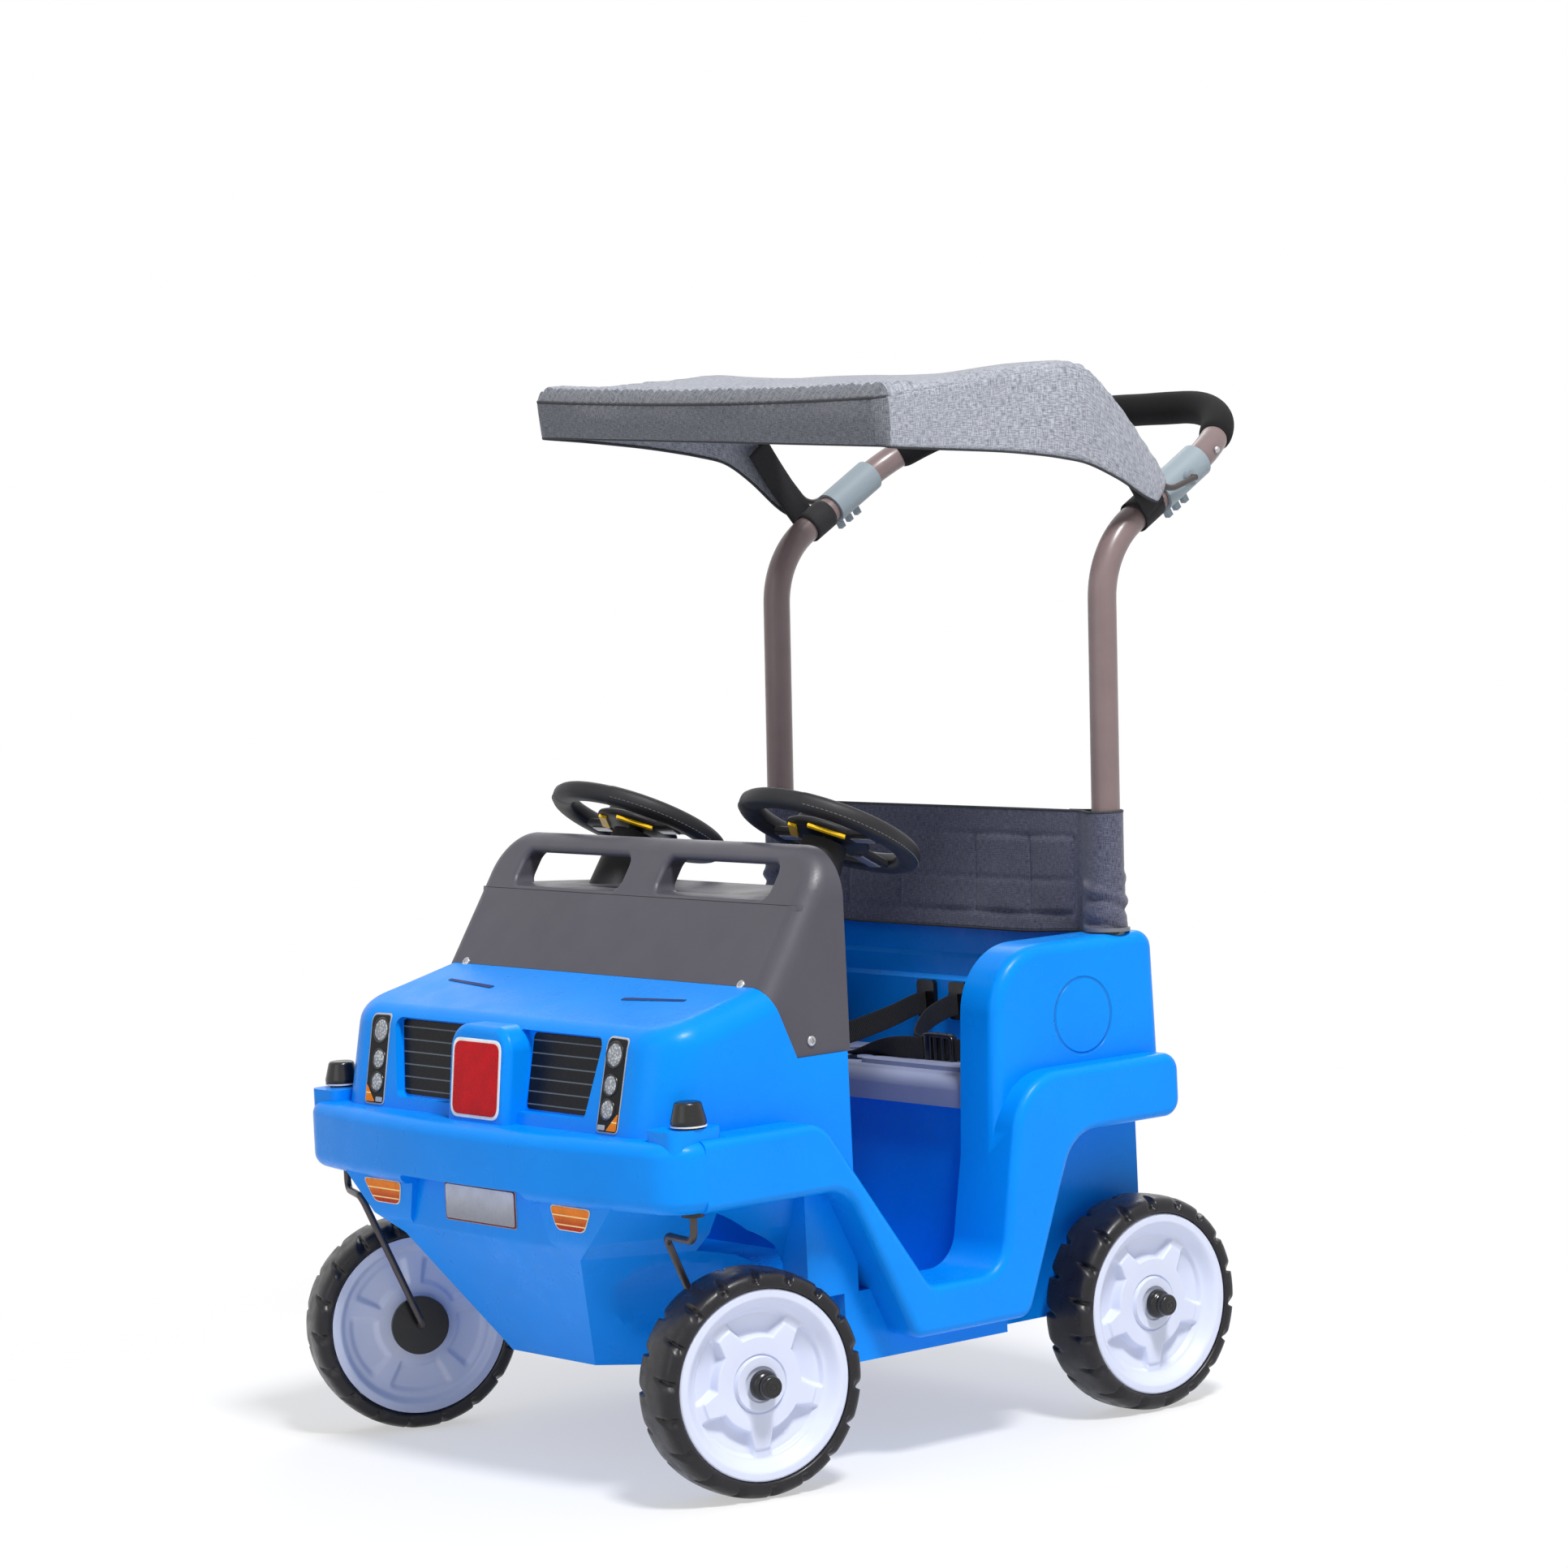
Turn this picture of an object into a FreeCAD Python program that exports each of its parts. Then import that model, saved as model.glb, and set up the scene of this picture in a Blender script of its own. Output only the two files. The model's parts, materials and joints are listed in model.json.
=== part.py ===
"""Two-seat push car: moulded body, free front casters, parent handle and a tilting canopy.

Millimetres, +Z up, the front faces -Y, and +X is the left side of the car.
The origin is on the ground, midway between the bumper and the handle grip.
"""
import FreeCAD, Part
import math
import os

V = FreeCAD.Vector
X_AXIS = V(1, 0, 0)
Y_AXIS = V(0, 1, 0)
Z_AXIS = V(0, 0, 1)
SIDES = {"left": 1, "right": -1}

# Driving dimensions of the whole car
wheel_radius = 120.0
tyre_width = 67.0
rear_wheel_x = 310.7
pivot_x = 315.8
pivot_setback = 73.2
pivot_to_axle = 630.1
grip_behind = 269.7
grip_z = 1114.0
tube_radius = 16.0
tube_wall = 2.0
tube_x = 285.0

# Clearances
shaft_clearance = 0.1
seat_clearance = 0.3
overrun = 20.0

# Body: half widths across X
band_x = 342.0
quarter_x = 311.0
hood_x = 296.0
cabin_x = 255.0
arch_x = 262.0
apron_x = 250.0
plate_top_x = 111.0
plate_low_x = 133.0
keel_shoulder_x = 197.0
keel_top_x = 160.0
keel_bottom_x = 75.0
badge_x = 54.0
grille_outer_x = 191.0

# Body: levels up Z
belly_z = 112.0
sill_bottom_z = 134.0
floor_z = 165.0
sill_top_z = 188.0
keel_top_z = 245.0
apron_low_z = 266.0
plate_top_z = 318.0
bumper_low_z = 306.0
bumper_top_z = 381.0
boss_top_z = 393.0
badge_low_z = 372.0
badge_high_z = 484.0
grille_low_z = 394.0
grille_high_z = 480.0
hood_front_z = 488.0
hood_back_z = 522.0
rebate_z = 445.0
fender_low_z = 326.0
fender_top_z = 397.0
quarter_top_z = 533.0
riser_top_z = 366.0
axle_rib_z = 98.0

# Body: stations along Y, counted back from the front of the bumper
bumper_side_setback = 34.0
apron_setback = 22.0
keel_shoulder_setback = 27.0
keel_top_setback = 42.0
keel_bottom_setback = 118.0
badge_low_setback = 27.5
badge_top_setback = 40.3
hood_low_setback = 30.0
hood_top_setback = 66.0
dash_line_setback = 204.0
rebate_setback = 238.0
footwell_setback = 152.0
leg_top_setback = 234.0
cowl_setback = 307.0
leg_foot_setback = 373.0

# Body: stations along Y, counted ahead of the rear axle
riser_ahead = 187.0
quarter_front_ahead = 217.0
quarter_lean = 22.0
sill_end_ahead = 228.0
fender_front_ahead = 192.0
arch_foot_ahead = 190.0
arch_top_ahead = 114.0
seatback_ahead = -3.0
tail_behind = 50.0
fender_behind = 47.0

# Body: rounding and small features
bumper_corner = 50.0
bumper_edge = 16.0
hood_corner = 55.0
hood_edge = 30.0
band_edge = 10.0
leg_round = 40.0
leg_depth = 24.0
foot_round_share = 0.196
sill_round_share = 0.39
quarter_round = 75.0
quarter_edge = 14.0
fender_round = 70.0
arch_round = 50.0
small_round = 20.0
badge_round = 27.0
badge_edge = 10.0
recess_depth = 10.0
recess_taper = 20.0
boss_half = 34.0
plate_depth = 9.5
plate_round = 8.0
boss_round = 12.0
seatback_step = 5.0
seatback_lines = (464.0, 490.0)
axle_rib_half = 22.0
well_margin = 7.0
well_wall = 8.0

# Casters: the rest headings turn each caster about its upright stem
caster_trail = 64.3
caster_inset = 11.2
rod_radius = 4.0
rod_bend = 12.0
jog_inset = 64.0
jog_z = 275.0
stem_rise = 16.0
headings = {"left": -9.7, "right": -20.9}
bush_radius = 9.0
bush_flange_radius = 14.0
bush_flange = 2.0
pivot_washer_radius = 19.0
pivot_washer = 1.6
nut_radius = 19.0
nut_top_radius = 14.0
nut_height = 24.0
nut_foot = 4.0
collar_radius = 12.0
collar_height = 4.0

# Wheels
hub_radius = 100.6
hub_half_width = 31.0
barrel_wall = 9.0
outer_dish = 13.0
inner_dish = 9.0
dish_slope = 8.0
pocket_depth = 9.0
inner_pocket_depth = 4.0
pocket_count = 5
pocket_inner = 46.0
pocket_outer = 82.0
pocket_round = 8.0
pocket_inner_angle = 19.0
pocket_outer_angle = 27.0
hub_boss_radius = 29.0
hub_boss_proud = 5.0
inner_disc_radius = 33.0
inner_disc = 5.0
axle_radius = 4.75
cap_radius = 16.0
cap_tip_radius = 11.0
cap_collar = 9.0
cap_length = 24.0
washer_radius = 11.0
washer = 1.6
lug_count = 18
lug_height = 3.0
lug_sink = 6.0
lug_length = 29.0
lug_gap = 3.0
lug_chamfer = 8.0
lug_slant = 28.0
tyre_shoulder = 13.0
tyre_bead = 5.0
sidewall_rise = 6.0
tyre_round = 4.0

# Dash panel and steering
dash_top_z = 663.0
dash_wall = 6.0
dash_front_wall = 24.0
dash_side_wall = 10.0
dash_x = 293.0
dash_corner = 55.0
dash_edge = 25.0
dash_rear_edge = 4.0
dash_top_setback = 294.0
dash_rail = 19.0
slot_inner_x = 32.0
slot_outer_x = 228.0
slot_low_z = 607.0
slot_high_z = 642.0
slot_corner = 11.0
slot_edge = 6.0
tray_z = 598.0
tray_x = 215.0
tray_reach = 94.0
steer_x = 170.0
steer_setback = 401.3
steer_z = 668.0
steer_tilt = 28.0
rim_radius = 91.0
rim_section = 11.0
rim_half_width = 13.0
rim_round = 9.0
steer_hub_radius = 38.0
steer_plate_radius = 48.0
steer_hub_crown = 8.0
spoke_width = 24.0
spoke_depth = 9.0
spoke_angles = (0.0, 180.0, 90.0)
insert_angles = (-43.0, -137.0)
insert_radius = 38.0
insert_length = 43.0
insert_width = 9.0
insert_depth = 3.0
column_radius = 9.0
boot_radius = 33.0
boot_top_radius = 25.0
boot_gap = 6.0
column_tail = 26.0
nut_ring_radius = 14.0
nut_ring = 7.0

# Seat, belts and backrest
seat_x = 250.0
seat_lip_ahead = 12.0
seat_lip_drop = 34.0
seat_front_z = 390.0
seat_back_z = 380.0
seat_lip_round = 15.0
pad_inner_x = 18.0
pad_outer_x = 232.0
pad_rise = 5.0
pad_front = 42.0
pad_back = 24.0
pad_round = 26.0
belt_width = 25.0
belt_thickness = 1.8
anchor_inner_x = 28.0
anchor_outer_x = 214.0
anchor_z = 447.0
anchor_width = 30.0
anchor_height = 44.0
anchor_depth = 6.0
belt_slot_drop = 12.0
belt_reach = 118.0
belt_bend = 14.0
buckle_length = 58.0
buckle_width = 36.0
buckle_depth = 15.0
sling_gap = 3.0
sling_height = 127.0
sling_thickness = 3.0
sling_wrap = 2.5

# Handle
foot_ahead = 1.3
upright_lean = 2.0
handle_slope = 31.0
upright_bend = 105.0
loop_bend = 125.0
grip_radius = 19.0
grip_start_angle = 24.0
socket_depth = 140.0
socket_wall = 4.0
socket_flange = 4.0
socket_flange_radius = 25.0
socket_floor = 6.0
splice_setback = 127.0
splice_insert = 45.0
clamp_setback = 157.0
clamp_length = 74.0
clamp_wall = 3.6
clamp_boss_radius = 9.0
comb_teeth = 3
comb_tooth = 7.0
comb_pitch = 15.0
comb_proud = 9.0
comb_start = 4.0

# Canopy, measured from its pivot in the clamps
wire_radius = 3.5
wire_gap = 5.0
wire_bend = 26.0
wire_stub = 7.0
bow_front_x = 299.0
bow_front_reach = 449.0
bow_front_rise = 107.0
hump_reach = 172.0
hump_rise = 121.0
bow_tail_reach = 44.0
bow_tail_drop = 14.0
band_depth = 56.0
hem_mid_reach = 250.0
hem_mid_rise = 34.0
hem_rear_reach = 143.0
hem_rear_rise = 17.0
tail_reach = 40.0
tail_drop = 22.0
hump_round = 60.0
sheet_rear_reach = 103.0
sheet_rear_rise = 97.0
cloth = 3.0
cloth_gap = 0.4
strap_width = 34.0
strap_thickness = 2.0
strap_setback = 64.0
strap_reach = 119.0
strap_rise = 24.0

# Places worked out from the driving dimensions
overall_length = pivot_setback + pivot_to_axle + grip_behind + grip_radius
front_y = -overall_length / 2
pivot_y = front_y + pivot_setback
axle_y = pivot_y + pivot_to_axle
axle_z = wheel_radius
cowl_y = front_y + cowl_setback
rebate_y = front_y + rebate_setback
dash_line_y = front_y + dash_line_setback
riser_y = axle_y - riser_ahead
seatback_y = axle_y - seatback_ahead
tail_y = axle_y + tail_behind
foot_y = axle_y - foot_ahead
grip_y = axle_y + grip_behind
clamp_radius = tube_radius + seat_clearance + clamp_wall
wire_x = tube_x + clamp_radius + wire_gap + wire_radius
slope_dir = V(0, math.cos(math.radians(handle_slope)), math.sin(math.radians(handle_slope)))
slope_up = V(0, -slope_dir.z, slope_dir.y)
lean_dir = V(0, math.sin(math.radians(upright_lean)), math.cos(math.radians(upright_lean)))
steer_dir = V(0, math.sin(math.radians(steer_tilt)), math.cos(math.radians(steer_tilt)))
steer_y = front_y + steer_setback
grip_centre = V(0, grip_y, grip_z)
pivot_centre = grip_centre - slope_dir * clamp_setback


def corner_wire(points, radii):
    """Closed planar wire through the points, each corner rounded by its own radius."""
    count = len(points)
    starts, mids, ends = [], [], []
    for i in range(count):
        p = points[i]
        u = (points[i - 1] - p).normalize()
        w = (points[(i + 1) % count] - p).normalize()
        half = u.getAngle(w) / 2
        bisector = (u + w).normalize() if radii[i] else V()
        reach = radii[i] / math.tan(half)
        starts.append(p + u * reach)
        ends.append(p + w * reach)
        mids.append(p + bisector * (radii[i] / math.sin(half) - radii[i]))
    edges = []
    for i in range(count):
        if radii[i]:
            edges.append(Part.Arc(starts[i], mids[i], ends[i]).toShape())
        following = starts[(i + 1) % count]
        if not ends[i].isEqual(following, seat_clearance):
            edges.append(Part.LineSegment(ends[i], following).toShape())
    return Part.Wire(edges)


def prism(points, radii, travel):
    """Solid swept straight along travel from a rounded outline."""
    return Part.Face(corner_wire(points, radii)).extrude(travel)


def prism_x(yz, radii, x0, x1):
    """Side outline in Y and Z carried across from x0 to x1."""
    return prism([V(x0, y, z) for y, z in yz], radii, V(x1 - x0, 0, 0))


def prism_y(xz, radii, y0, y1):
    """Front outline in X and Z carried back from y0 to y1."""
    return prism([V(x, y0, z) for x, z in xz], radii, V(0, y1 - y0, 0))


def prism_z(xy, radii, z0, z1):
    """Plan outline in X and Y carried up from z0 to z1."""
    return prism([V(x, y, z0) for x, y in xy], radii, V(0, 0, z1 - z0))


def block(x0, x1, y0, y1, z0, z1):
    """Plain box between two corners."""
    return Part.makeBox(x1 - x0, y1 - y0, z1 - z0, V(x0, y0, z0))


def ring(inner, outer, base, axis, length):
    """Tube wall between two radii, from base along axis."""
    wall = Part.makeCylinder(outer, length, base, axis)
    return wall.cut(Part.makeCylinder(inner, length, base, axis))


def turned(outline, radii, base, axis):
    """Outline of (radius, height) pairs turned about axis at base."""
    wire = corner_wire([V(r, 0, h) for r, h in outline], radii)
    solid = Part.Face(wire).revolve(V(), Z_AXIS, 360)
    return placed(solid, base, axis)


def placed(solid, base, axis):
    """Copy of a solid whose own +Z is laid along axis at base."""
    moved = solid.copy()
    moved.Placement = FreeCAD.Placement(base, FreeCAD.Rotation(Z_AXIS, axis))
    return moved


def bent_path(points, bend):
    """Open wire of straight runs joined by tangent arcs of one radius."""
    edges = []
    start = points[0]
    for i in range(1, len(points) - 1):
        p = points[i]
        u = (points[i - 1] - p).normalize()
        w = (points[i + 1] - p).normalize()
        half = u.getAngle(w) / 2
        reach = bend / math.tan(half)
        middle = p + (u + w).normalize() * (bend / math.sin(half) - bend)
        edges.append(Part.LineSegment(start, p + u * reach).toShape())
        edges.append(Part.Arc(p + u * reach, middle, p + w * reach).toShape())
        start = p + w * reach
    edges.append(Part.LineSegment(start, points[-1]).toShape())
    return Part.Wire(edges)


def pipe(path, radius):
    """Round bar along a wire."""
    first = path.OrderedEdges[0]
    at = path.OrderedVertexes[0].Point
    along = first.tangentAt(first.FirstParameter)
    shell = Part.BRepOffsetAPI.MakePipeShell(path)
    shell.add(Part.Wire(Part.makeCircle(radius, at, along)))
    shell.build()
    shell.makeSolid()
    return shell.shape()


def tube(path, radius, wall):
    """Hollow round tube along a wire."""
    return pipe(path, radius).cut(pipe(path, radius - wall))


def both_sides(solid):
    """A solid and its mirror across the car's middle plane, as one list."""
    return [solid, solid.mirror(V(), X_AXIS)]


def fused(first, others):
    """One solid from several that meet."""
    return first.multiFuse(others).removeSplitter()


def edges_at_x(solid, x):
    """Edges that lie wholly in the plane at x."""
    return [e for e in solid.Edges if all(abs(v.X - x) < seat_clearance for v in e.Vertexes)
            and abs(e.CenterOfMass.x - x) < seat_clearance]


def side_band():
    """Raised left band: front fender, leg, sill, rear leg and rear fender in one outline."""
    leg_top_y = front_y + leg_top_setback
    leg_foot_y = front_y + leg_foot_setback
    sill_end_y = axle_y - sill_end_ahead
    sill_run = sill_end_y - leg_foot_y
    fall_share = (bumper_top_z - bumper_low_z) / (bumper_top_z - sill_top_z)
    leg_low_y = leg_top_y + fall_share * (leg_foot_y - leg_top_y) - leg_depth
    outline = [
        (front_y + pivot_setback, bumper_top_z),
        (leg_top_y, bumper_top_z),
        (leg_foot_y, sill_top_z),
        (sill_end_y, sill_top_z),
        (axle_y - fender_front_ahead, fender_top_z),
        (axle_y + fender_behind, fender_top_z),
        (axle_y + fender_behind, fender_low_z),
        (axle_y - arch_top_ahead, fender_low_z),
        (axle_y - arch_foot_ahead, sill_bottom_z),
        (leg_foot_y - leg_depth, sill_bottom_z),
        (leg_low_y, bumper_low_z),
        (front_y + pivot_setback, bumper_low_z),
    ]
    radii = [0, leg_round, foot_round_share * sill_run, sill_round_share * sill_run, fender_round,
             small_round, small_round, arch_round, small_round, small_round, leg_round, 0]
    band = prism_x(outline, radii, cabin_x, band_x)
    rim = [e for e in edges_at_x(band, band_x) if e.CenterOfMass.y > pivot_y + seat_clearance]
    return band.makeFillet(band_edge, rim)


def bumper():
    """Front bumper with a bowed face, round corners and soft upper and lower edges."""
    side_y = front_y + bumper_side_setback
    back_y = pivot_y + boss_half
    low = [V(-band_x, side_y, bumper_low_z), V(0, front_y, bumper_low_z), V(band_x, side_y, bumper_low_z)]
    edges = [Part.Arc(*low).toShape()]
    corners = [low[2], V(band_x, back_y, bumper_low_z), V(-band_x, back_y, bumper_low_z), low[0]]
    for a, b in zip(corners, corners[1:]):
        edges.append(Part.LineSegment(a, b).toShape())
    solid = Part.Face(Part.Wire(edges)).extrude(V(0, 0, bumper_top_z - bumper_low_z))
    upright = [e for e in solid.Edges
               if abs(e.Vertexes[0].Z - e.Vertexes[-1].Z) > bumper_edge and e.CenterOfMass.y < pivot_y]
    solid = solid.makeFillet(bumper_corner, upright)
    rims = [e for e in solid.Edges
            if abs(e.Vertexes[0].Z - e.Vertexes[-1].Z) < seat_clearance
            and e.CenterOfMass.y < back_y - seat_clearance]
    return solid.makeFillet(bumper_edge, rims)


def hood_level(y):
    """Height of the hood's top at a station."""
    top_y = front_y + hood_top_setback
    return hood_front_z + (y - top_y) * (hood_back_z - hood_front_z) / (dash_line_y - top_y)


def hood():
    """Hood and cowl: a side outline cut to a leaning plan with round front corners, its top edge softened."""
    low_z = bumper_low_z + bumper_edge / 2
    side = [(front_y, low_z), (front_y, hood_level(front_y)), (dash_line_y, hood_back_z),
            (rebate_y, rebate_z), (cowl_y, rebate_z), (cowl_y, low_z)]
    solid = prism_x(side, [0] * len(side), -band_x, band_x)
    low_y = fascia_y(sill_top_z)
    back_y = cowl_y + overrun
    plan = [V(-hood_x, low_y, sill_top_z), V(hood_x, low_y, sill_top_z), V(hood_x, back_y, sill_top_z),
            V(-hood_x, back_y, sill_top_z)]
    travel = V(0, fascia_y(dash_top_z) - low_y, dash_top_z - sill_top_z)
    solid = solid.common(prism(plan, [hood_corner, hood_corner, 0, 0], travel))
    top = [e for e in solid.Edges
           if all(abs(v.Z - hood_level(v.Y)) < seat_clearance for v in e.Vertexes)
           and e.CenterOfMass.y < dash_line_y - seat_clearance]
    return solid.makeFillet(hood_edge, top)


def nose():
    """Apron and tapered keel between the casters, lofted through plan outlines."""
    levels = [
        (belly_z, keel_bottom_x, keel_bottom_setback),
        (keel_top_z, keel_top_x, keel_top_setback),
        (apron_low_z, keel_shoulder_x, keel_shoulder_setback),
        (bumper_low_z + band_edge, apron_x, apron_setback),
    ]
    wires = []
    for z, half, setback in levels:
        y = front_y + setback
        plan = [V(-half, y, z), V(half, y, z), V(hood_x, cowl_y, z), V(-hood_x, cowl_y, z)]
        wires.append(Part.makePolygon(plan + plan[:1]))
    return Part.makeLoft(wires, True, True)


def caster_well(side, margin):
    """Room that a caster wheel needs to swing all the way round, plus a margin."""
    rise = wheel_radius + margin
    offset = caster_inset + tyre_width / 2 + margin
    outline = [(0, -overrun)]
    steps = 6
    for i in range(steps + 1):
        angle = math.pi / 2 * i / steps
        reach = caster_trail + rise * math.cos(angle)
        outline.append((math.hypot(reach, offset), wheel_radius + rise * math.sin(angle)))
    outline.insert(1, (outline[1][0], -overrun))
    outline.append((0, wheel_radius + rise))
    return turned(outline, [0] * len(outline), V(side * pivot_x, pivot_y, 0), Z_AXIS)


def quarter():
    """Left rear quarter panel with a round shoulder over the door opening."""
    front = axle_y - quarter_front_ahead
    outline = [
        (front, sill_bottom_z),
        (front + quarter_lean, quarter_top_z),
        (tail_y - seatback_step, quarter_top_z),
        (tail_y, fender_low_z),
        (axle_y - arch_top_ahead, fender_low_z),
        (axle_y - arch_foot_ahead, sill_bottom_z),
    ]
    panel = prism_x(outline, [0, quarter_round, small_round, 0, arch_round, 0], cabin_x, quarter_x)
    return panel.makeFillet(quarter_edge, edges_at_x(panel, quarter_x))


def tub_rear():
    """Seat riser, seatback and tail in one side outline between the wheel arches."""
    steps = []
    back = seatback_y
    for level in seatback_lines:
        steps += [(back, level), (back + seatback_step, level + seatback_step)]
        back += seatback_step
    outline = [(riser_y, belly_z), (riser_y, riser_top_z), (seatback_y, riser_top_z)] + steps
    outline += [(back, quarter_top_z), (tail_y, quarter_top_z), (tail_y, belly_z)]
    radii = [0] * (len(outline) - 2) + [small_round, small_round]
    return prism_x(outline, radii, -arch_x, arch_x)


def fascia_y(z):
    """Front of the leaning fascia at a level."""
    share = (z - bumper_low_z) / (hood_front_z - bumper_low_z)
    return front_y + hood_low_setback + share * (hood_top_setback - hood_low_setback)


def badge_boss():
    """Bare raised boss in the middle of the fascia, with a leaning face and a round top."""
    low_y = front_y + badge_low_setback
    top_y = front_y + badge_top_setback
    back_y = front_y + hood_top_setback + overrun
    outline = [(-badge_x, badge_low_z), (badge_x, badge_low_z), (badge_x, badge_high_z),
               (-badge_x, badge_high_z)]
    boss = prism_y(outline, [0, 0, badge_round, badge_round], front_y, back_y)
    lean = [(low_y, badge_low_z), (top_y, badge_high_z), (back_y, badge_high_z), (back_y, badge_low_z)]
    boss = boss.common(prism_x(lean, [0] * len(lean), -badge_x, badge_x))
    rim = [e for e in boss.Edges
           if e.CenterOfMass.y < top_y + badge_edge and e.BoundBox.ZMax > badge_low_z + overrun]
    return boss.makeFillet(badge_edge, rim)


def plate_recess():
    """Cut of the shallow recess in the apron, narrow at the top and open below."""
    low_z = apron_low_z - overrun
    outline = [(-plate_low_x, low_z), (plate_low_x, low_z), (plate_top_x, plate_top_z),
               (-plate_top_x, plate_top_z)]
    return prism_y(outline, [0, 0, plate_round, plate_round], front_y - overrun,
                   front_y + apron_setback + plate_depth)


def grille_recess():
    """Left recess beside the boss, with a sloped outer side and a shelf below."""
    inner_x = badge_x - badge_edge
    outline = [(inner_x, grille_low_z), (grille_outer_x - recess_taper, grille_low_z),
               (grille_outer_x, grille_high_z), (inner_x, grille_high_z)]
    back_low = fascia_y(grille_low_z) + recess_depth
    back_high = fascia_y(grille_high_z) + recess_depth
    cut = prism_y(outline, [0, small_round / 2, small_round / 2, 0], front_y, back_high)
    wedge = [(front_y, grille_low_z - overrun), (back_low, grille_low_z), (back_high, grille_high_z),
             (back_high, grille_high_z + overrun), (front_y, grille_high_z + overrun)]
    return cut.common(prism_x(wedge, [0] * len(wedge), 0, band_x))


def pivot_boss():
    """Left boss on the bumper that carries a caster pivot."""
    corners = [(pivot_x - boss_half, pivot_y - boss_half), (band_x - band_edge, pivot_y - boss_half),
               (band_x - band_edge, pivot_y + boss_half), (pivot_x - boss_half, pivot_y + boss_half)]
    return prism_z(corners, [boss_round] * len(corners), bumper_low_z + bumper_edge, boss_top_z)


def upright_axis(z):
    """Point on the left upright's axis at a level."""
    rise = (z - quarter_top_z) / lean_dir.z
    return V(tube_x, foot_y, quarter_top_z) + lean_dir * rise


def body_shell():
    """The moulded body: hood, bumper, fenders, sills, quarters, seat riser and floor."""
    core_front = block(-hood_x, hood_x, cowl_y - overrun, riser_y, belly_z, sill_top_z)
    cowl = block(-hood_x, hood_x, rebate_y, cowl_y, sill_top_z, bumper_low_z + bumper_edge)
    rib = block(-arch_x, arch_x, axle_y - axle_rib_half, axle_y + axle_rib_half, axle_rib_z, belly_z)
    recess = plate_recess()
    solid = hood().cut(recess)
    for cut in both_sides(grille_recess()):
        solid = solid.cut(cut)
    others = [bumper().cut(recess), nose().cut(recess), core_front, cowl, rib, tub_rear(), badge_boss()]
    others += both_sides(side_band()) + both_sides(quarter()) + both_sides(pivot_boss())
    solid = fused(solid, others)
    footwell = block(-cabin_x, cabin_x, front_y + footwell_setback, riser_y, floor_z, rebate_z)
    for side in SIDES.values():
        footwell = footwell.cut(caster_well(side, well_margin + well_wall))
    cabin = block(-cabin_x, cabin_x, rebate_y + overrun, riser_y, rebate_z - overrun, dash_top_z)
    cuts = [footwell, cabin]
    for side in SIDES.values():
        cuts.append(caster_well(side, well_margin))
        cuts.append(Part.makeCylinder(bush_radius + seat_clearance, boss_top_z, V(side * pivot_x, pivot_y, 0)))
        base = upright_axis(quarter_top_z - socket_depth)
        base.x *= side
        cuts.append(Part.makeCylinder(tube_radius + socket_wall + seat_clearance, socket_depth + overrun,
                                      base, lean_dir))
    cuts.append(Part.makeCylinder(axle_radius + shaft_clearance, 2 * band_x,
                                  V(-band_x, axle_y, axle_z), X_AXIS))
    for cut in cuts:
        solid = solid.cut(cut)
    return solid.removeSplitter()


def dash_front_y(z, inset):
    """Y of the dash panel's leaning front at a level, moved in by a wall."""
    rise = dash_top_z - hood_back_z
    run = front_y + dash_top_setback - dash_line_y
    slant = math.hypot(rise, run)
    return dash_line_y + run * (z - hood_back_z) / rise + inset * slant / rise


def front_edges(solid):
    """Edges of the dash panel whose ends lie on its leaning front."""
    return [e for e in solid.Edges
            if all(abs(v.Y - dash_front_y(v.Z, seat_clearance)) < 2 * seat_clearance for v in e.Vertexes)]


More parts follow.
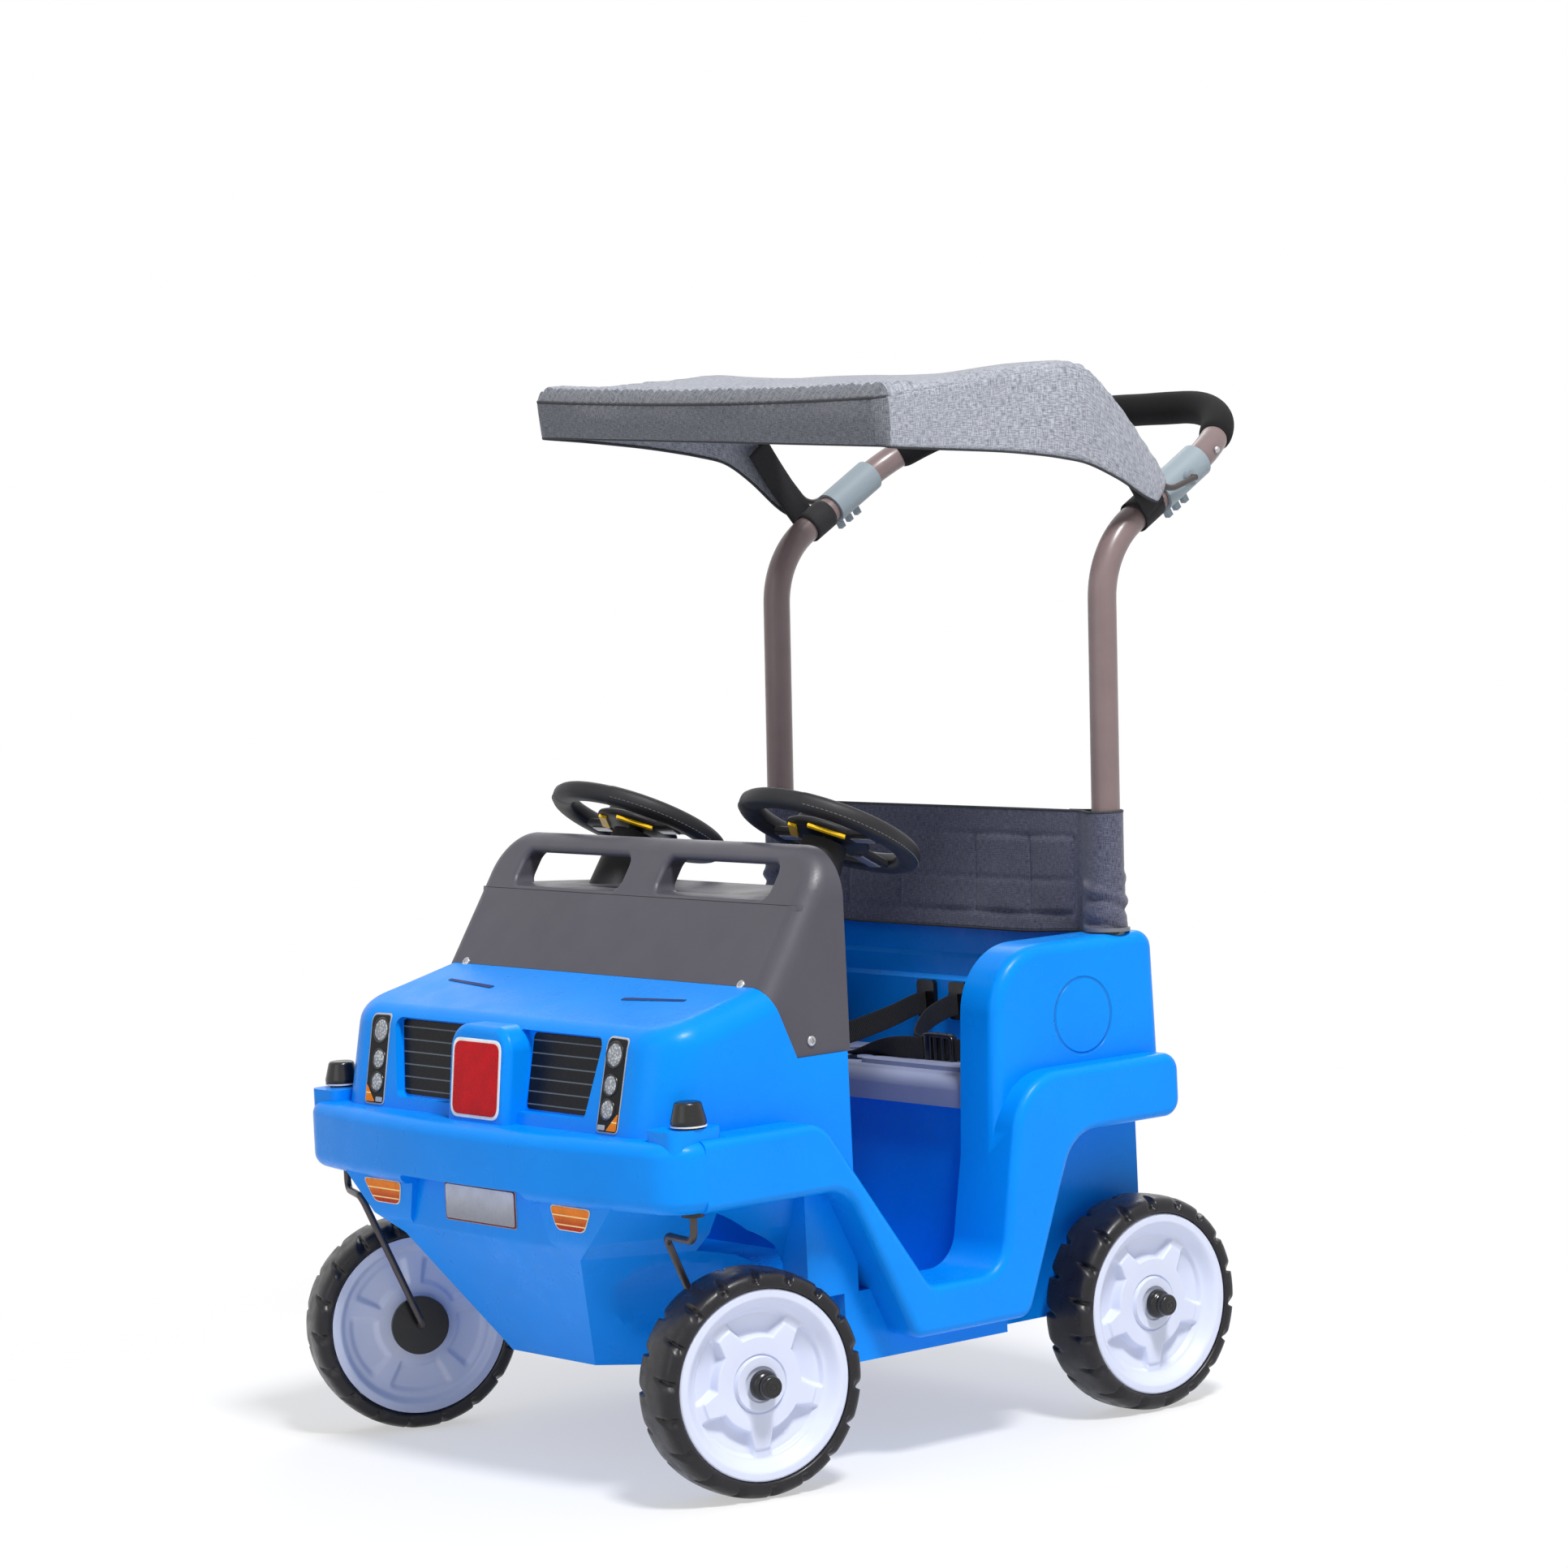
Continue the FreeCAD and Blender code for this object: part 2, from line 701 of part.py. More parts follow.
def dash_panel():
    """Dash panel: leaning front with two slots, round shoulders, side feet and a tray behind."""
    rear_y = front_y + dash_top_setback + dash_rail
    foot_z = rebate_z + seat_clearance
    sit = seat_clearance
    side = [(dash_line_y + sit, hood_back_z + sit), (dash_front_y(dash_top_z, sit), dash_top_z),
            (rear_y, dash_top_z), (rear_y, foot_z), (rebate_y + sit, foot_z)]
    outer = prism_x(side, [0, 0, dash_rear_edge, 0, 0], -dash_x, dash_x)
    front = [(-dash_x, foot_z), (dash_x, foot_z), (dash_x, dash_top_z), (-dash_x, dash_top_z)]
    outer = outer.common(prism_y(front, [0, 0, dash_corner, dash_corner], front_y, steer_y))
    border = [e for e in front_edges(outer) if e.CenterOfMass.z > hood_back_z + dash_wall]
    outer = outer.makeFillet(dash_edge, border)
    inner_x = dash_x - dash_side_wall
    inner_top = dash_top_z - dash_wall
    inner = [(dash_front_y(belly_z, dash_front_wall), belly_z),
             (dash_front_y(inner_top, dash_front_wall), inner_top), (steer_y, inner_top), (steer_y, belly_z)]
    hollow = prism_x(inner, [0] * len(inner), -inner_x, inner_x)
    inner_front = [(-inner_x, belly_z), (inner_x, belly_z), (inner_x, inner_top), (-inner_x, inner_top)]
    corner = dash_corner - dash_side_wall
    hollow = hollow.common(prism_y(inner_front, [0, 0, corner, corner], front_y, steer_y))
    shell = outer.cut(hollow)
    tray_front = dash_front_y(tray_z, dash_wall / 2)
    plan = [(-inner_x - dash_wall / 2, tray_front), (inner_x + dash_wall / 2, tray_front),
            (inner_x + dash_wall / 2, rear_y), (tray_x, rear_y + tray_reach), (-tray_x, rear_y + tray_reach),
            (-inner_x - dash_wall / 2, rear_y)]
    tray = prism_z(plan, [0, 0, 0, small_round, small_round, 0], tray_z, tray_z + dash_wall)
    shell = fused(shell, [tray])
    slot = [(slot_inner_x, slot_low_z), (slot_outer_x, slot_low_z), (slot_outer_x, slot_high_z),
            (slot_inner_x, slot_high_z)]
    slot_cut = prism_y(slot, [slot_corner] * len(slot), front_y, rear_y)
    for cut in both_sides(slot_cut):
        shell = shell.cut(cut)
    mouths = [e for e in front_edges(shell) if abs(e.CenterOfMass.x) < slot_outer_x + seat_clearance
              and slot_low_z - seat_clearance < e.CenterOfMass.z < slot_high_z + seat_clearance]
    shell = shell.makeFillet(slot_edge, mouths)
    for side in SIDES.values():
        column = Part.makeCylinder(column_radius + seat_clearance, rim_radius * 2, steer_base(side), -steer_dir)
        shell = shell.cut(column)
    return shell


def steer_base(side):
    """Centre of a steering wheel."""
    return V(side * steer_x, steer_y, steer_z)


def steer_drop(z):
    """Distance down the steering column from the wheel's centre to a level."""
    return (steer_z - z) / steer_dir.z


def steering_rim(side):
    """Thick flattened rim with three spokes that join it to the hub plate."""
    inner = rim_radius - rim_half_width
    outer = rim_radius + rim_half_width
    section = [(inner, -rim_section), (outer, -rim_section), (outer, rim_section), (inner, rim_section)]
    rim = turned(section, [rim_round] * len(section), V(), Z_AXIS)
    spokes = []
    for angle in spoke_angles:
        bar = block(steer_hub_radius, rim_radius, -spoke_width / 2, spoke_width / 2, -spoke_depth, 0)
        bar.rotate(V(), Z_AXIS, angle)
        spokes.append(bar)
    seat = Part.makeCylinder(steer_plate_radius, spoke_depth, V(0, 0, -spoke_depth))
    wheel = fused(rim, spokes + [seat])
    bore = Part.makeCylinder(column_radius + shaft_clearance, 2 * spoke_depth, V(0, 0, -2 * spoke_depth))
    return placed(wheel.cut(bore), steer_base(side), steer_dir)


def steering_hub(side):
    """Domed horn pad on the driver's side of the wheel."""
    outline = [(0, 0), (steer_hub_radius, 0), (steer_hub_radius, steer_hub_crown),
               (0, steer_hub_crown + steer_hub_crown / 2)]
    return turned(outline, [0, 0, steer_hub_crown / 2, 0], steer_base(side), steer_dir)


def steering_inserts(side):
    """Pair of coloured bars under the forward edge of the hub plate, one towards each side."""
    inserts = []
    for angle in insert_angles:
        half = insert_length / 2
        bar = block(insert_radius - insert_width / 2, insert_radius + insert_width / 2, -half, half,
                    -spoke_depth - insert_depth, -spoke_depth)
        bar.rotate(V(), Z_AXIS, angle)
        inserts.append(placed(Part.makeCompound([bar]), steer_base(side), steer_dir))
    return Part.makeCompound(inserts)


def steering_column(side):
    """Column from the wheel down through the boot and tray, with a retaining ring under it."""
    end = steer_drop(tray_z) + column_tail
    shaft = Part.makeCylinder(column_radius, end, steer_base(side), -steer_dir)
    lip = Part.makeCylinder(nut_ring_radius, nut_ring, steer_base(side) - steer_dir * end, steer_dir)
    return fused(shaft, [lip])


def steering_boot(side):
    """Tapered boot that stands on the tray and guides the column."""
    top = -spoke_depth - boot_gap
    bottom = -steer_drop(tray_z)
    bore = column_radius + shaft_clearance
    outline = [(bore, bottom - boot_radius), (boot_radius, bottom - boot_radius), (boot_top_radius, top),
               (bore, top)]
    boot = turned(outline, [0] * len(outline), steer_base(side), steer_dir)
    above = tray_z + dash_wall
    keep = block(-band_x, band_x, front_y, steer_y + steer_hub_radius, above, dash_top_z + steer_z)
    return boot.common(keep)


def wheel_frame(side, centre, heading):
    """Placement that lays a wheel's own +Z along its outboard axle direction."""
    turn = FreeCAD.Rotation(Z_AXIS, heading)
    axis = turn.multVec(X_AXIS * side)
    return FreeCAD.Placement(centre, FreeCAD.Rotation(Z_AXIS, axis))


def tyre():
    """Tyre about +Z with slanted lugs staggered on its two shoulders."""
    half = tyre_width / 2
    tread = wheel_radius - lug_height
    side_r = hub_radius + sidewall_rise
    outline = [(hub_radius, -half + tyre_bead), (side_r, -half), (tread, -half + tyre_shoulder),
               (tread, half - tyre_shoulder), (side_r, half), (hub_radius, half - tyre_bead)]
    radii = [0, tyre_round, tyre_round, tyre_round, tyre_round, 0]
    core = turned(outline, radii, V(), Z_AXIS)
    deep = tread - lug_sink
    edge = half - lug_gap
    lug_outline = [V(deep, 0, lug_gap), V(wheel_radius, 0, lug_gap), V(wheel_radius, 0, edge - lug_chamfer),
                   V(deep, 0, edge)]
    lug_face = Part.Face(Part.makePolygon(lug_outline + lug_outline[:1]))
    lug_face.translate(V(0, -lug_length / 2, 0))
    lug = lug_face.extrude(V(0, lug_length, 0))
    lug.rotate(V(0, 0, half / 2), X_AXIS, lug_slant)
    lug = lug.common(Part.makeCylinder(wheel_radius, tyre_width, V(0, 0, -half)))
    mirrored = lug.mirror(V(), Z_AXIS)
    lugs = []
    pitch = 360.0 / lug_count
    for i in range(lug_count):
        for solid, phase in ((lug, 0), (mirrored, pitch / 2)):
            copy = solid.copy()
            copy.rotate(V(), Z_AXIS, i * pitch + phase)
            lugs.append(copy)
    return core.multiFuse(lugs)


def pocket(depth):
    """Pocket between two arms of the hub, upward from its floor at zero."""
    points = []
    for r, a in ((pocket_inner, -pocket_inner_angle), (pocket_outer, -pocket_outer_angle),
                 (pocket_outer, 0), (pocket_outer, pocket_outer_angle), (pocket_inner, pocket_inner_angle)):
        stretch = 1 if a else 1 / math.cos(math.radians(pocket_outer_angle / 2))
        points.append(V(r * stretch * math.cos(math.radians(a)), r * stretch * math.sin(math.radians(a)), 0))
    radii = [pocket_round, pocket_round, pocket_outer, pocket_round, pocket_round]
    return prism(points, radii, V(0, 0, depth))


def hub(bore):
    """Dished hub about +Z (outboard) with five pockets between its arms and a bored boss."""
    w = hub_half_width
    outer = hub_radius - seat_clearance
    barrel = outer - barrel_wall
    web_out = w - outer_dish
    web_in = -w + inner_dish
    outline = [(bore, -w), (hub_boss_radius, -w), (hub_boss_radius, web_in), (barrel - dish_slope, web_in),
               (barrel, -w), (outer, -w), (outer, w), (barrel, w), (barrel - dish_slope, web_out),
               (hub_boss_radius, web_out), (hub_boss_radius, web_out + hub_boss_proud),
               (bore, web_out + hub_boss_proud)]
    solid = turned(outline, [0] * len(outline), V(), Z_AXIS)
    pockets = []
    for i in range(pocket_count):
        for depth, floor in ((pocket_depth + overrun, web_out - pocket_depth),
                             (inner_pocket_depth + overrun, web_in - overrun)):
            cut = pocket(depth)
            cut.translate(V(0, 0, floor))
            cut.rotate(V(), Z_AXIS, (i + 0.5) * 360.0 / pocket_count)
            pockets.append(cut)
    return solid.cut(Part.makeCompound(pockets))


def axle_cap(bore):
    """Stepped push-on cap about +Z, from its seat on the hub boss outward."""
    end = cap_length - washer
    outline = [(0, end), (0, cap_length), (cap_tip_radius, cap_length), (cap_tip_radius, cap_collar),
               (cap_radius, cap_collar), (cap_radius, 0), (bore, 0), (bore, end)]
    radii = [0, 0, washer, 0, washer, 0, 0, 0]
    cap = turned(outline, radii, V(), Z_AXIS)
    cap.translate(V(0, 0, cap_seat()))
    return cap


def cap_seat():
    """Height of the cap's seat over the wheel's middle, one washer above the boss."""
    return hub_half_width - outer_dish + hub_boss_proud + washer + 2 * seat_clearance


def axle_washer(bore):
    """Steel washer between the hub boss and the cap."""
    base = hub_half_width - outer_dish + hub_boss_proud + seat_clearance
    return ring(bore, washer_radius, V(0, 0, base), Z_AXIS, washer)


def inner_disc_part(bore):
    """Black disc that closes the inner end of a front hub."""
    base = -hub_half_width - inner_disc
    return ring(bore, inner_disc_radius, V(0, 0, base), Z_AXIS, inner_disc)


def caster_centre(name):
    """Centre of a front wheel at its rest heading."""
    side = SIDES[name]
    turn = FreeCAD.Rotation(Z_AXIS, headings[name])
    return V(side * pivot_x, pivot_y, axle_z) + turn.multVec(V(-side * caster_inset, caster_trail, 0))


def turn_caster(solid, name):
    """Move a solid made round the pivot at heading zero to its rest place."""
    moved = solid.copy()
    place = V(SIDES[name] * pivot_x, pivot_y, 0)
    moved.Placement = FreeCAD.Placement(place, FreeCAD.Rotation(Z_AXIS, headings[name]))
    return moved


def caster_rod(name):
    """Bent rod: upright stem, inward jog, slanted leg and outward axle."""
    side = SIDES[name]
    inner = -side * jog_inset
    end = side * (cap_seat() + cap_length - 2 * washer - caster_inset)
    path = bent_path([V(0, 0, boss_top_z + stem_rise), V(0, 0, jog_z), V(inner, 0, jog_z),
                      V(inner, caster_trail, axle_z), V(end, caster_trail, axle_z)], rod_bend)
    return turn_caster(pipe(path, rod_radius), name)


def caster_nut(name):
    """Domed cap nut on top of a caster stem."""
    bore = rod_radius + shaft_clearance
    base = boss_top_z + bush_flange + pivot_washer + 2 * seat_clearance
    deep = boss_top_z + stem_rise + seat_clearance
    top = base + nut_height
    outline = [(bore, base), (nut_radius, base), (nut_radius, base + nut_foot), (nut_top_radius, top),
               (0, top), (0, deep), (bore, deep)]
    radii = [0, washer, washer, nut_foot, 0, 0, 0]
    return turn_caster(turned(outline, radii, V(), Z_AXIS), name)


def pivot_bush(name):
    """Plastic sleeve with a flange, lining the bumper boss."""
    base = V(SIDES[name] * pivot_x, pivot_y, bumper_low_z)
    bore = rod_radius + shaft_clearance
    height = boss_top_z - bumper_low_z
    sleeve = ring(bore, bush_radius, base, Z_AXIS, height)
    flange = ring(bore, bush_flange_radius, base + Z_AXIS * height, Z_AXIS, bush_flange)
    return fused(sleeve, [flange])


def pivot_washer_part(name):
    """White washer between a bush flange and its cap nut."""
    base = V(0, 0, boss_top_z + bush_flange + seat_clearance)
    bore = rod_radius + shaft_clearance
    return turn_caster(ring(bore, pivot_washer_radius, base, Z_AXIS, pivot_washer), name)


def stem_collar(name):
    """Push-on collar that carries the bumper on a caster stem."""
    base = V(0, 0, bumper_low_z - seat_clearance - collar_height)
    return turn_caster(ring(rod_radius + shaft_clearance, collar_radius, base, Z_AXIS, collar_height), name)


def upright_path():
    """Left upright: out of its socket, back over one bend and up the slope to the splice."""
    foot = upright_axis(quarter_top_z - socket_depth + socket_floor)
    splice = grip_centre + X_AXIS * tube_x - slope_dir * splice_setback
    gap = splice - foot
    run = (gap.y * slope_dir.z - gap.z * slope_dir.y) / (lean_dir.y * slope_dir.z - lean_dir.z * slope_dir.y)
    knee = foot + lean_dir * run
    return bent_path([foot, knee, splice], upright_bend)


def loop_point(angle, side):
    """Point on the handle loop's corner arc, from the slope run towards the cross run."""
    centre = grip_centre + X_AXIS * side * (tube_x - loop_bend) - slope_dir * loop_bend
    turn = math.radians(angle)
    return centre + X_AXIS * (side * loop_bend * math.cos(turn)) + slope_dir * (loop_bend * math.sin(turn))


def handle_tube():
    """Handle loop with a slim end at each side that slides into the uprights."""
    start = grip_centre - slope_dir * splice_setback
    corners = [start + X_AXIS * tube_x, grip_centre + X_AXIS * tube_x, grip_centre - X_AXIS * tube_x,
               start - X_AXIS * tube_x]
    loop = tube(bent_path(corners, loop_bend), tube_radius, tube_wall)
    slim = tube_radius - tube_wall - seat_clearance
    ends = []
    for corner in (corners[0], corners[-1]):
        base = corner - slope_dir * splice_insert
        ends.append(ring(slim - tube_wall, slim, base, slope_dir, splice_insert + tube_wall))
        ends.append(ring(slim - tube_wall, tube_radius, corner, slope_dir, tube_wall))
    return fused(loop, ends)


def foam_grip():
    """Foam sleeve over the cross run and round most of both corners."""
    edges = []
    for side in (1, -1):
        angles = (grip_start_angle, (grip_start_angle + 90) / 2, 90)
        points = [loop_point(a, side) for a in angles]
        edges.append(Part.Arc(*(points if side > 0 else points[::-1])).toShape())
    edges.insert(1, Part.LineSegment(loop_point(90, 1), loop_point(90, -1)).toShape())
    path = Part.Wire(edges)
    return pipe(path, grip_radius).cut(pipe(path, tube_radius + seat_clearance))


def tube_socket(side):
    """Plastic socket with a flange and a floor, let into the top of a quarter."""
    base = upright_axis(quarter_top_z - socket_depth)
    top = upright_axis(quarter_top_z + seat_clearance + socket_flange_radius * lean_dir.y)
    bore = tube_radius + shaft_clearance
    cup = Part.makeCylinder(bore + socket_wall - shaft_clearance, top.sub(base).Length, base, lean_dir)
    flange = Part.makeCylinder(socket_flange_radius, socket_flange, top, lean_dir)
    hole = Part.makeCylinder(bore, socket_depth + overrun, base + lean_dir * (socket_floor - shaft_clearance),
                             lean_dir)
    cup = fused(cup, [flange]).cut(hole)
    return cup if side > 0 else cup.mirror(V(), X_AXIS)


def clamp():
    """Left canopy clamp: a sleeve on the slope run, a pivot boss and a comb of detent teeth."""
    centre = pivot_centre + X_AXIS * tube_x
    base = centre - slope_dir * (clamp_length / 2)
    sleeve = Part.makeCylinder(clamp_radius, clamp_length, base, slope_dir)
    boss_end = wire_x - wire_radius - cloth_gap
    boss = Part.makeCylinder(clamp_boss_radius, boss_end - tube_x, centre, X_AXIS)
    teeth = []
    for i in range(comb_teeth):
        along = -comb_start - i * comb_pitch
        lug = block(-comb_tooth / 2, comb_tooth / 2, -comb_tooth / 2, comb_tooth / 2,
                    tube_radius, clamp_radius + comb_proud)
        teeth.append(placed(lug, centre + slope_dir * along, -slope_up))
    solid = fused(sleeve, [boss] + teeth)
    solid = solid.cut(Part.makeCylinder(tube_radius + seat_clearance, clamp_length + overrun,
                                        base - slope_dir * (overrun / 2), slope_dir))
    bore = Part.makeCylinder(wire_radius + shaft_clearance, wire_x, centre + X_AXIS * tube_radius, X_AXIS)
    return solid.cut(bore)


def from_pivot(x, reach, rise):
    """Point given by its reach ahead of the canopy pivot and its rise over it."""
    return V(x, pivot_centre.y - reach, pivot_centre.z + rise)


def canopy_bow():
    """One wire: stub in the clamp, tail, hump, front corner, and the same back on the other side."""
    half = [from_pivot(wire_x - wire_stub, 0, 0), from_pivot(wire_x, 0, 0),
            from_pivot(wire_x, bow_tail_reach, -bow_tail_drop), from_pivot(wire_x, hump_reach, hump_rise),
            from_pivot(bow_front_x, bow_front_reach, bow_front_rise)]
    stub = Part.makeCylinder(wire_radius, wire_stub + wire_radius, half[0], X_AXIS)
    mirror = [V(-p.x, p.y, p.z) for p in half[::-1]]
    loop = pipe(bent_path(half[1:] + mirror[:-1], wire_bend), wire_radius)
    return fused(loop, both_sides(stub))


def canopy_block(inset, side):
    """Side outline of the canopy carried across its tapered plan, moved in by inset."""
    top = wire_radius + cloth_gap + cloth - inset
    rear = V(0, overall_length, 0)
    solid = prism([from_pivot(-band_x, reach, rise) for reach, rise in side[0]], side[1], V(2 * band_x, 0, 0))
    right, left = [], []
    for x, reach in ((wire_x, 0), (wire_x, hump_reach), (bow_front_x, bow_front_reach + top)):
        right.append(from_pivot(-x - top, reach, 0))
        left.append(from_pivot(x + top, reach, 0))
    plan = [left[0] + rear] + left[1:] + right[:0:-1] + [right[0] + rear]
    lowered = [V(q.x, q.y, 0) for q in plan]
    return solid.common(prism(lowered, [0] * len(lowered), V(0, 0, 2 * grip_z)))


def canopy_fabric():
    """Cloth of the canopy: top sheet, front band and two side panels, open below and behind."""
    top = wire_radius + cloth_gap + cloth
    front = bow_front_reach + top
    crest = [(sheet_rear_reach, sheet_rear_rise), (hump_reach, hump_rise + top), (front, bow_front_rise + top)]
    hem = [(front, crest[2][1] - band_depth), (hem_mid_reach, hem_mid_rise), (hem_rear_reach, hem_rear_rise),
           (tail_reach, -tail_drop), (tail_reach - small_round / 2, -tail_drop / 4)]
    outer = (hem + crest, [0, arch_round, arch_round, 0, 0, small_round, hump_round, 0])
    under = [(reach, rise - cloth) for reach, rise in crest]
    under[2] = (front - cloth, under[2][1])
    room = overall_length
    inner = ([(-room, -room), (under[2][0], -room), under[2], under[1], under[0],
              (sheet_rear_reach, room), (-room, room)], [0, 0, 0, hump_round, 0, 0, 0])
    return canopy_block(0, outer).cut(canopy_block(cloth, inner))


def canopy_strap(side):
    """Webbing looped round an upright and carried up to the hem of the canopy."""
    centre = pivot_centre + X_AXIS * tube_x - slope_dir * strap_setback
    inner = tube_radius + seat_clearance
    loop = ring(inner, inner + strap_thickness, centre - slope_dir * (strap_width / 2), slope_dir, strap_width)
    hem = from_pivot(tube_x, strap_reach, strap_rise)
    up = hem - centre
    across = up.cross(X_AXIS).normalize() * (strap_width / 2)
    lift = X_AXIS * inner
    corners = [centre + across + lift, centre - across + lift, hem - across + lift, hem + across + lift]
    tail = Part.Face(Part.makePolygon(corners + corners[:1])).extrude(X_AXIS * strap_thickness)
    strap = fused(loop, [tail])
    return strap if side > 0 else strap.mirror(V(), X_AXIS)


def seat_panel():
    """Seat panel with a rolled front lip and two raised pads."""
    front = riser_y - seat_lip_ahead
    back = seatback_y - seat_clearance
    low = riser_top_z + seat_clearance
    outline = [(front, seat_front_z - seat_lip_drop), (front, seat_front_z), (back, seat_back_z), (back, low),
               (riser_y - seat_clearance, low), (riser_y - seat_clearance, seat_front_z - seat_lip_drop)]
    slab = prism_x(outline, [0, seat_lip_round, 0, 0, 0, 0], -seat_x, seat_x)
    pads = []
    plan = [(pad_inner_x, front + pad_front), (pad_outer_x, front + pad_front), (pad_outer_x, back - pad_back),
            (pad_inner_x, back - pad_back)]
    pad = prism_z(plan, [pad_round] * len(plan), low, seat_front_z + pad_rise)
    roof = [(front, low), (front, seat_front_z + pad_rise), (back, seat_back_z + pad_rise), (back, low)]
    pad = pad.common(prism_x(roof, [0] * len(roof), 0, seat_x))
    return fused(slab, both_sides(pad))


def seat_level(y):
    """Top of the seat pads at a station."""
    front = riser_y - seat_lip_ahead
    share = (y - front) / (seatback_y - front)
    return seat_front_z + pad_rise - share * (seat_front_z - seat_back_z)


def lap_belt(side):
    """Webbing from one anchor out over the seat pad and back to the other anchor."""
    front = seatback_y - belt_reach
    back = seatback_y - anchor_depth
    rise = seat_level(front) + 2 * seat_clearance + belt_width / 2
    start_z = anchor_z - belt_slot_drop
    middle = (anchor_inner_x + anchor_outer_x) / 2
    spread = (anchor_outer_x - anchor_inner_x) / 4
    mid_y = back - belt_reach / 3
    mid_z = start_z - belt_width / 2
    points = [V(anchor_inner_x, back, start_z), V(anchor_inner_x, mid_y, mid_z), V(middle - spread, front, rise),
              V(middle + spread, front, rise), V(anchor_outer_x, mid_y, mid_z), V(anchor_outer_x, back, start_z)]
    path = bent_path(points, belt_bend)
    half_w = belt_width / 2
    half_t = belt_thickness / 2
    at = points[0]
    corners = [at + V(-half_t, 0, -half_w), at + V(half_t, 0, -half_w), at + V(half_t, 0, half_w),
               at + V(-half_t, 0, half_w)]
    shell = Part.BRepOffsetAPI.MakePipeShell(path)
    shell.setBiNormalMode(Z_AXIS)
    shell.add(Part.makePolygon(corners + corners[:1]))
    shell.build()
    shell.makeSolid()
    belt = shell.shape()
    return belt if side > 0 else belt.mirror(V(), X_AXIS)


def belt_buckle(side):
    """Buckle body that the webbing runs into, open as a flat sleeve."""
    front = seatback_y - belt_reach
    middle = (anchor_inner_x + anchor_outer_x) / 2
    rise = seat_level(front) + 2 * seat_clearance + belt_width / 2
    centre = V(middle, front, rise)
    body = block(-buckle_length / 2, buckle_length / 2, -buckle_depth / 2, buckle_depth / 2,
                 -belt_width / 2, buckle_width - belt_width / 2)
    slot = block(-buckle_length, buckle_length, -belt_thickness, belt_thickness,
                 -belt_width / 2 - seat_clearance, belt_width / 2 + seat_clearance)
    buckle = body.cut(slot)
    buckle.translate(centre)
    return buckle if side > 0 else buckle.mirror(V(), X_AXIS)


def belt_anchors():
    """Four anchor plates screwed to the seatback."""
    plates = []
    for x in (anchor_inner_x, anchor_outer_x):
        low = anchor_z - anchor_height / 2 - belt_slot_drop / 2
        outline = [(x - anchor_width / 2, low), (x + anchor_width / 2, low),
                   (x + anchor_width / 2, low + anchor_height), (x - anchor_width / 2, low + anchor_height)]
        plate = prism_y(outline, [small_round / 4] * len(outline), seatback_y - anchor_depth, seatback_y)
        plates += both_sides(plate)
    return Part.makeCompound(plates)


def backrest_sling():
    """Cloth sling between the uprights, with a sleeve round each of them."""
    low = quarter_top_z + socket_flange + sling_gap
    inner = tube_radius + seat_clearance
    base = upright_axis(low)
    sleeve = Part.makeCylinder(inner + sling_wrap, sling_height, base, lean_dir)
    sheet = [(-tube_x, base.y - sling_thickness / 2), (tube_x, base.y - sling_thickness / 2),
             (tube_x, base.y + sling_thickness / 2), (-tube_x, base.y + sling_thickness / 2)]
    cloth_sheet = prism([V(x, y, low) for x, y in sheet], [0] * len(sheet), lean_dir * sling_height)
    solid = fused(cloth_sheet, both_sides(sleeve))
    for hole in both_sides(Part.makeCylinder(inner, sling_height * 2, base - lean_dir * overrun, lean_dir)):
        solid = solid.cut(hole)
    return solid


def hub_set(name, placement, bore):
    """Tyre and hub of one wheel, laid in place."""
    pieces = {name + "_tyre": tyre(), name + "_hub": hub(bore)}
    for piece in pieces.values():
        piece.Placement = placement
    return pieces


